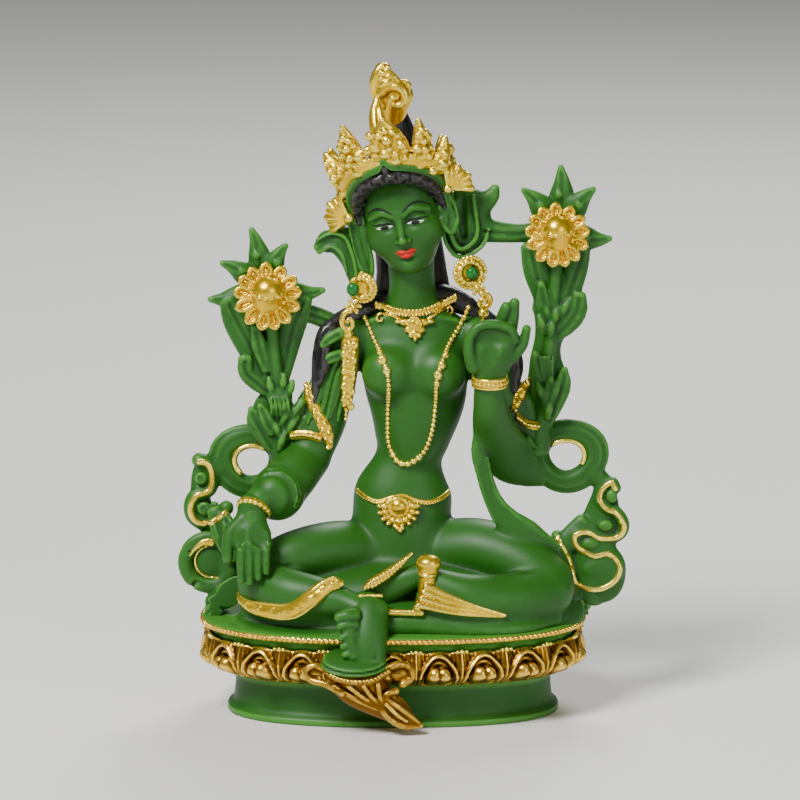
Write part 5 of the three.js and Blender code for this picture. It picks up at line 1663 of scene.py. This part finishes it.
STRING = [
    [-6.4, 68.4], [-4.3, 63.8], [-2.3, 60.1], [-1.1, 56.1], [-1.2, 45.7], [-1, 40], [-0.2, 37.6], [1.2, 35.6],
    [3, 35.2], [5, 36.2], [7.2, 38.6], [8.8, 43], [9.6, 49], [9.8, 54], [10.2, 57], [12.2, 61.9], [15.4, 67],
    [17, 70.7],
]


def long_string(surface):
    pile = Pile()
    path = lay(surface, flat_curve(STRING, 10), 0.25)
    middle = int(len(path) * 0.45)
    pile.beads(path, 0.6, 1.12)
    pile.beads(path[middle - 14 : middle + 18], 0.8, 1.4)
    for x, z, size in (
        (-3, 61.4, 0.75), (-2.4, 59.9, 1.2), (-1.4, 57.6, 1), (9.9, 54.6, 0.8), (10.2, 56.6, 1.1),
        (11, 58.8, 1), (12, 60.8, 0.75),
    ):
        place = lay_spot(surface, x, z, 0.2)
        pile.ball(place, (size, size * 0.8, size * 1.1))
    return pile


def neck_band(surface):
    clay = Clay((-8, -10, 58), (20, 2, 77), 0.2)
    band = flat_curve([[-3.8, 71.4], [0.2, 70.2], [4.8, 69.9], [9.3, 70.7], [14, 73]])
    clay.tube(thick(lay(surface, band, 0.1), 0.66, 0.55), blend=0.1, steps=1)
    clay.beads(lay(surface, band + (0, 0.5), 0.55), 0.42, 0.92)
    clay.beads(lay(surface, band + (0, -0.6), 0.5), 0.34, 0.78)
    for x, z, hand in ((-2.8, 68.4, 1), (12.6, 69.6, -1)):
        spot = lay_spot(surface, x, z, 0.3)
        spiral(clay, spot, FRONT, 90, 1.1, 0.9, 0.36, hand=hand)
    for places in ([[-2.4, 69.3], [0, 69.1], [2, 68.2]], [[12.4, 70.6], [10, 69.6], [7.8, 68.4]]):
        clay.tube(thick(lay(surface, flat_curve(places), 0.2), 0.36), blend=0.2, steps=1)
    hub = lay_spot(surface, 4.8, 67.4, 0.7)
    clay.ball(hub, (1.6, 1.1, 1.6), blend=0.15)
    clay.beads(circle(hub + (0, -0.4, 0), FRONT, 1.5), 0.42, 0.8)
    for x, z, wide, high in (
        (2.7, 67.7, 1.2, 0.9), (1.2, 67.9, 0.9, 0.6), (7, 67.7, 1.2, 0.9), (8.5, 67.9, 0.9, 0.6),
        (3.4, 66.1, 0.9, 0.8), (6.4, 66.1, 0.9, 0.8), (4.9, 65.3, 0.9, 0.9), (4, 64.9, 0.6, 0.7),
        (5.9, 64.9, 0.6, 0.7), (5, 64.1, 0.5, 0.6),
    ):
        clay.ball(lay_spot(surface, x, z, 0.5), (wide, 0.8, high), blend=0.15)
    return clay


def belt(surface):
    clay = Clay((-12, -12, 15), (18, 4, 34), 0.2)
    line = flat_curve([[-8.1, 28.6], [-6.2, 27.6], [-3.6, 26.9], [0, 28], [2.6, 28.3], [5.4, 27.2],
                       [8, 26.7], [10.6, 27.2], [12.6, 28.2]])
    clay.tube(thick(lay(surface, line, 0.1), 0.34, 0.4), blend=0.1, steps=1)
    clay.beads(lay(surface, line + (0, -0.55), 0.3), 0.36, 0.7)
    centre = lay_spot(surface, 1.3, 25.4, 0.3)
    clay.ball(centre + (0, 0.2, -0.6), (3.9, 0.8, 3.4), blend=0.2)
    clay.ball(centre + (0, -0.4, 0.5), (1.9, 1.3, 1.8), blend=0.1)
    clay.tube(thick(circle(centre + (0, -0.6, 0.4), FRONT, 2.1), 0.32), blend=0.1)
    for reach, count, size in ((3.1, 9, 0.85), (4.2, 10, 0.6)):
        for k in range(count):
            turn = math.radians(8 - 196 * k / (count - 1))
            out = np.array((math.cos(turn) * 1.05, 0, math.sin(turn)))
            clay.ball(centre + out * reach + (0, -0.4, 0.1), (size, 0.8, size), blend=0.12)
    for x, z in ((1, 21), (1.6, 20.4), (2.1, 21)):
        clay.ball(lay_spot(surface, x, z, 0.5), 0.55, blend=0.12)
    return clay


def earrings():
    clay = Clay((-15, -6, 45), (24, 3, 84.4), 0.24)
    facing = (-0.3, -0.95, 0)
    clay.beads(circle((-6.9, -2.4, 75.6), facing, 2.2, -150, 110), 0.75, 1.1)
    clay.beads(circle((-6.9, -2.2, 75.6), facing, 3.2, -160, 100), 0.5, 0.85)
    clay.beads([[-7, -2.2, 79], [-6.4, -2, 77]], 0.55, 0.9)
    clay.ball((-7.6, -1.8, 75.6), (2.6, 0.6, 2.8), blend=0.1)
    rosette(clay, (-9, -2.6, 71.4), 2)
    spiral(clay, (-10, -2.8, 67.8), FRONT, 80, 1.9, 1.2, 0.7, squash=1.4)
    clay.ball((-10.1, -2.6, 65), 1.2, blend=0.2)
    clay.tube([[-9.7, -2.2, 63.8, 2, 1], [-9.8, -2.6, 57, 1.9, 0.9], [-10.3, -2.6, 51, 1.4, 0.8],
               [-10.5, -2.4, 48, 0.8, 0.6]], blend=0.2)
    for k in range(10):
        z = 62.8 - k * 1.5
        x = -9.8 - 0.05 * k
        for column in (-1, 0, 1):
            swell = 0.68 + 0.2 * math.sin(2.7 * k + 1.9 * column)
            drop = 0.5 * (column != 0)
            place = (x + column * (1.2 - 0.05 * k), -3.2, z - drop + 0.3 * math.sin(k + 2 * column))
            clay.ball(place, (swell, 0.6, swell * 1.15), blend=0.2)
    clay.beads([[-10.5, -2.6, 48.4], [-10.8, -2.4, 44.4]], 0.48, 1.0)
    facing = (0.2, -0.97, 0)
    clay.beads(circle((17.4, -2.6, 79.1), facing, 2.5, 0, 340), 0.8, 1.15)
    clay.beads(circle((17.4, -2.3, 79.1), facing, 3.6, 0, 340), 0.5, 0.9)
    clay.ball((17.4, -1.6, 79.1), (2.6, 0.6, 2.7), blend=0.1)
    rosette(clay, (19, -2.8, 75.6), 1.9)
    spiral(clay, (20.4, -3, 72.6), FRONT, 100, 1.9, 1.2, 0.75, hand=-1)
    clay.ball((20.4, -3, 70), 1.2, blend=0.2)
    clay.beads([[20.6, -3, 70], [20, -2.8, 67.4]], 0.5, 0.9)
    return clay


def stones():
    pile = Pile()
    pile.ball((-9, -3.2, 75.4), (1.5, 1, 1.6))
    pile.ball((17.8, -3.4, 79.1), (1.5, 1, 1.5))
    return pile


def arm_bands(surface):
    clay = Clay((-37, -20, 22), (36, 3, 60), 0.26)
    for rows in (
        [[-19.4, 53.2, 0.6], [-18.8, 50.6, 1.5], [-17, 46.8, 1.3], [-15, 42.6, 1.5], [-14.3, 39.2, 0.7]],
        [[30.8, 54.2, 0.6], [28.8, 50.9, 1.3], [27.2, 47.6, 0.6]],
    ):
        line = lay(surface, flat_curve(rows), 0.35)
        clay.strip(line, 0.6)
        for k, row in enumerate(evenly(line, 1.1)):
            side = 0.5 if k % 2 else -0.5
            clay.ball(row[:3] + np.array((side, -0.6, side * 0.4)), 0.5, blend=0.15)
    for rows in (
        [[-23, 41.8], [-21, 42.2], [-18.8, 42.1], [-16.6, 41.5]], [[28.2, 46], [30.4, 44.4], [33, 43.8]],
    ):
        line = lay(surface, flat_curve(rows), 0.3)
        clay.tube(thick(line, 0.9, 0.6), blend=0.1, steps=1)
        clay.beads(line + (0, -0.7, 0), 0.48, 0.95)
        for rise in (0.8, -0.8):
            clay.tube(thick(line + (0, -0.1, rise), 0.3), blend=0.1, steps=1)
    return clay


def bracelets():
    clay = Clay((-37, -21, 20), (30, -6, 61), 0.24)
    lowered = (-0.3, -0.62, -0.75)
    clay.beads(circle((-31.4, -13.2, 27), lowered, 3.5, count=33), 0.7, 1.2)
    clay.beads(circle((-31.3, -12.9, 27.6), lowered, 3.4, count=33), 0.42, 0.8)
    wrist, raised = np.array((21.7, -12.6, 56.2)), (0, -0.08, 1)
    for rise, size in ((-0.9, 0.4), (0.9, 0.45)):
        clay.tube(thick(circle(wrist + rise * UP, raised, 3.7, count=25), size), blend=0.1, steps=2)
    clay.tube(thick(circle(wrist, raised, 3.4, count=25), 0.5, 1.0), blend=0.1, facing=UP)
    clay.beads(circle(wrist, raised, 3.8, count=33), 0.5, 1.05)
    return clay


# Gold on the skirt


def shin_hem(surface):
    clay = Clay((-39, -30, -1), (-8, -8, 18), 0.27)
    rows = [
        [-35.4, 6.4, 0.6], [-32.4, 5, 1.3], [-28, 4.7, 1.8], [-24.4, 4.9, 1.9], [-21.6, 5.9, 2],
        [-19.2, 7.7, 2.1], [-17, 9.6, 2], [-15, 11.1, 1.8], [-13.2, 11.7, 1.5], [-11.6, 11.5, 0.8],
    ]
    line = lay(surface, flat_curve(rows), 0.5)
    for _ in range(6):
        line[1:-1, 1] = np.minimum(line[1:-1, 1], (line[:-2, 1] + line[2:, 1]) / 2)
    for i in range(1, len(line)):
        line[i, 1] = min(line[i, 1], line[i - 1, 1] + 0.12)
    clay.strip(line, 0.9, blend=0.15, facing=(0, -0.96, 0.28))
    for way in (-1, 1):
        edge = [[x, y - 0.55 + way * 0.25, z + way * wide * 0.85, 0.32] for x, y, z, wide in line[2:-2]]
        clay.tube(edge, blend=0.12, steps=1)
    for k, row in enumerate(evenly(line, 1.2)):
        side = (0.5, -0.5, 0.1)[k % 3]
        stroke = row[:3] + np.array((0, -0.8, side))
        slant = np.array((0.4, 0, 0.25))
        clay.tube(sized((stroke - slant, stroke + slant), 0.26, 0.26), blend=0.12)
    return clay


# The beaded strip over the ankle: shares of its length and the half widths there
STRIP_AT = (0, 0.14, 0.4, 0.75, 1)
STRIP_WIDE = (0.5, 1.2, 1.15, 0.8, 0.3)


def ankle_gold():
    clay = Clay((-11, -29, 1), (28, -12, 22), 0.27)
    low, high = np.array((-6.3, -21.6, 10.8)), np.array((4.2, -18.2, 17.8))
    shares = np.linspace(0, 1, 15)
    line = np.array([[*(low + (high - low) * t), np.interp(t, STRIP_AT, STRIP_WIDE)] for t in shares])
    line[:, :3] += np.sin(np.pi * shares)[:, None] * (0.3, 0, -0.45)
    clay.strip(line, 0.6, facing=(0.2, -0.95, 0.2))
    clay.strip(line + (-0.1, 1, -0.2, 0), 1)
    for row in evenly(line, 0.85):
        for column in (-1, 0, 1):
            spot = row[:3] + np.array((-0.5, 0, 0.8)) * column * row[3] * 0.62 + (0, -0.6, 0)
            clay.ball(spot + (0.2 * column, 0, 0), 0.2 + 0.2 * row[3], blend=0.1)
    clay.ball((8, -19.8, 16), (2.8, 2.6, 1.9), blend=0.6)
    clay.tube([[8, -19.8, 15.2, 2.6, 2.2], [7.8, -20.4, 12.8, 1.9, 1.8], [7.6, -21, 9.8, 2, 1.6]], blend=0.6)
    clay.tube(thick(circle((7.8, -20.3, 13.8), (0, -0.2, 1), 1.9), 0.4), blend=0.15)
    top = np.array(((7.5, -22, 11.2), (16, -22.4, 7.6), (25.2, -21.4, 4.4)))
    low = np.array(((5.8, -22.8, 7), (14.6, -23, 5.2), (24.4, -21.4, 4.1)))
    for share in (0, 0.3, 0.64, 1):
        rows = top + (low - top) * share + (0, -0.3, 0)
        clay.tube(sized(rows, 0.72, 0.6, 0.4), blend=0.1, steps=6)
    for share in np.linspace(0, 1, 8):
        rows = top + (low - top) * share + (0, 1, 0)
        clay.tube(sized(rows, 0.9, 0.8, 0.5), blend=0.2, steps=6)
    clay.ball((5.4, -23, 6.4), 0.9, blend=0.15)
    for start, end, wide in (
        ((-7.4, -22.6, 9), (-2.6, -22.8, 9.1), 0.5), ((-0.9, -22.4, 5.2), (6.4, -22.8, 5.1), 0.75),
    ):
        clay.tube([[*start, wide, 0.6], [*end, wide, 0.6]], blend=0.1)
    return clay


# The small lotus under the forward foot


def foot_pad():
    clay = Clay((-19, -36, -12), (3, -20, 1), 0.36)
    for drop, reach in ((0, 7.2), (1.1, 7.6)):
        clay.ball((-8.6, -28, -4.3 - drop), (reach, 4.8, 0.9), tilt=(24, 0, 0), blend=0.1)
    return clay


def foot_cup():
    clay = Clay((-21, -36, -21.6), (9, -20, -3), 0.3)
    bowl = [[-8.4, -26.6, -7.4, 7.2, 3.6], [-6.8, -26.8, -10.4, 6, 3.4], [-3.4, -26.6, -14, 4, 2.8],
            [0.8, -26.2, -17.2, 2.4, 2], [5, -26, -19.6, 0.8, 0.9]]
    clay.tube(bowl, blend=0.3, steps=6)
    rim = [[-15.8, -27.2, -6.2], [-13.6, -30.4, -7.6], [-9.2, -32.4, -8.4], [-4.6, -31.8, -8.2],
           [-1.1, -29.2, -6.8]]
    clay.tube(thick(through(rim, 5), 0.7, 0.8), blend=0.2, steps=1)
    clay.beads(through(np.array(rim) + (0, -0.7, 0.3), 6), 0.42, 0.9)
    loop = [[-15.2, -28.4, -6.6, 0.7], [-18, -28, -5.8, 0.8], [-19.6, -28, -7.2, 0.8],
            [-18.4, -28.6, -8.8, 0.8], [-15, -29.8, -9.6, 0.8], [-11.4, -30.4, -11.6, 0.7]]
    clay.tube(loop, blend=0.12, steps=6)
    clay.ball((-17.2, -27.6, -7.5), (1.6, 0.9, 1), blend=0.12)
    fold = [[-1.6, -28.8, -6.4, 0.8], [1.4, -28, -5.4, 0.9], [3.8, -27.4, -6.4, 0.9],
            [4.2, -27.4, -8.6, 0.8], [2.2, -28, -10, 0.9]]
    clay.tube(fold, blend=0.12, steps=6)
    clay.ball((1.4, -27, -8), (2.4, 1.2, 1.9), blend=0.2)
    for k in range(4):
        share = k / 3
        start = np.array((-13 + 9.6 * share, -30.2 - 0.9 * math.sin(math.pi * share), -10 + 0.6 * share))
        middle = np.array((-7.4 + 4.6 * share, -29.9, -13.4 + 0.8 * share))
        end = np.array((-1.6 + 0.8 * share, -28.9, -16.2 + 0.6 * share))
        clay.tube(sized((start, middle, end), 0.6, 0.62, 0.45), blend=0.2, steps=6)
    leaf = [[-2, -28.6, -12.4, 1.6, 1.2], [0.6, -28.4, -15, 2.4, 1.4], [3, -27.8, -17.6, 1.9, 1.3],
            [6.2, -27, -19.6, 0.7, 0.8]]
    clay.tube(leaf, blend=0.3, steps=6)
    clay.tubes((
        [[-3.6, -29, -14.4, 0.7], [-0.8, -29, -17.6, 0.8], [2.4, -28.2, -19.6, 0.8],
         [6.2, -27.6, -19.6, 0.6]],
        [[-1.6, -29.6, -12.8, 0.7], [1, -29.8, -14.6, 0.7], [3.4, -29, -16.6, 0.7], [5.8, -27.8, -19, 0.5]],
        [[-1.4, -30, -14.2, 0.5], [0.8, -29.9, -16.4, 0.55], [3, -29, -18.2, 0.5]],
        [[0.6, -28.8, -11.4, 0.9], [-1.4, -29.4, -12, 0.8], [-2.4, -29.4, -13.4, 0.6]],
    ), blend=0.12, steps=6)
    return clay


def corner_curl():
    clay = Clay((36, -16, -1.5), (47, 2, 8), 0.3)
    clay.tube([[37, -12, 0, 1.4, 0.8], [40.2, -9.8, 1.4, 2.6, 0.9], [42.8, -6.6, 2.2, 2.4, 0.9],
               [42, -3.6, 1, 1.1, 0.8]], blend=0.4)
    return clay


def make_dress(surface):
    piece("ear_ribbons", ear_ribbons(), GREEN, reach=0.22)
    piece("long_string", long_string(surface), GOLD, reach=0.2, rounds=1)
    piece("neck_band", neck_band(surface), GOLD)
    piece("belt", belt(surface), GOLD)
    piece("earrings", earrings(), GOLD)
    piece("stones", stones(), STONE, reach=0.2, rounds=1)
    piece("arm_bands", arm_bands(surface), GOLD)
    piece("bracelets", bracelets(), GOLD)
    piece("shin_hem", shin_hem(surface), GOLD)
    piece("ankle_gold", ankle_gold(), GOLD)
    piece("foot_pad", foot_pad(), GREEN, reach=0.2)
    piece("foot_cup", foot_cup(), DARK_GOLD, reach=0.2)
    piece("corner_curl", corner_curl(), GREEN)


# Stage, camera and light

AIM = Vector((0.00159, 0, 0.0714))
CAMERA_DISTANCE = 1.3
CAMERA_ELEVATION = 11
LENS = 258
AIR_COLOUR = (0.9, 0.91, 0.93, 1)
AIR_STRENGTH = 0.2
FLOOR_COLOUR = (0.72, 0.71, 0.69, 1)
FLOOR_ROUGHNESS = 0.7
FLOOR_REACH = 3  # half the floor's side, in metres
LIGHTS = (  # name, place and size in metres, power in watts
    ("key", (-0.48, -0.68, 0.94), 0.42, 24),
    ("fill", (0.6, -0.9, 0.36), 0.6, 3.4),
    ("back", (0.2, 0.7, 0.8), 0.5, 8),
)


def aimed(name, data, place):
    """A camera or lamp at a place, turned to the figure."""
    made = bpy.data.objects.new(name, data)
    bpy.context.scene.collection.objects.link(made)
    made.location = place
    made.rotation_euler = (AIM - made.location).to_track_quat("-Z", "Y").to_euler()
    return made


def camera():
    lens = bpy.data.cameras.new("camera")
    lens.lens = LENS
    rise = math.radians(CAMERA_ELEVATION)
    place = AIM + Vector((0, -math.cos(rise), math.sin(rise))) * CAMERA_DISTANCE
    bpy.context.scene.camera = aimed("camera", lens, place)


def lights():
    for name, place, size, power in LIGHTS:
        lamp = bpy.data.lights.new(name, "AREA")
        lamp.shape = "DISK"
        lamp.size = size
        lamp.energy = power
        aimed(name, lamp, place)
    world = bpy.data.worlds.new("studio")
    world.use_nodes = True
    air = world.node_tree.nodes["Background"].inputs
    air["Color"].default_value = AIR_COLOUR
    air["Strength"].default_value = AIR_STRENGTH
    bpy.context.scene.world = world


def floor():
    mesh = bpy.data.meshes.new("floor")
    corners = [(x * FLOOR_REACH, y * FLOOR_REACH, 0) for x, y in ((-1, -1), (1, -1), (1, 1), (-1, 1))]
    mesh.from_pydata(corners, [], [(0, 1, 2, 3)])
    pale = bpy.data.materials.new("pale_floor")
    pale.use_nodes = True
    surface = pale.node_tree.nodes["Principled BSDF"].inputs
    surface["Base Color"].default_value = FLOOR_COLOUR
    surface["Roughness"].default_value = FLOOR_ROUGHNESS
    mesh.materials.append(pale)
    made = bpy.data.objects.new("floor", mesh)
    bpy.context.scene.collection.objects.link(made)


camera()
lights()
floor()
make_plinth()
body_surface = make_body()
make_face()
make_hair()
make_crown()
make_plants()
make_scarves()
make_dress(body_surface)
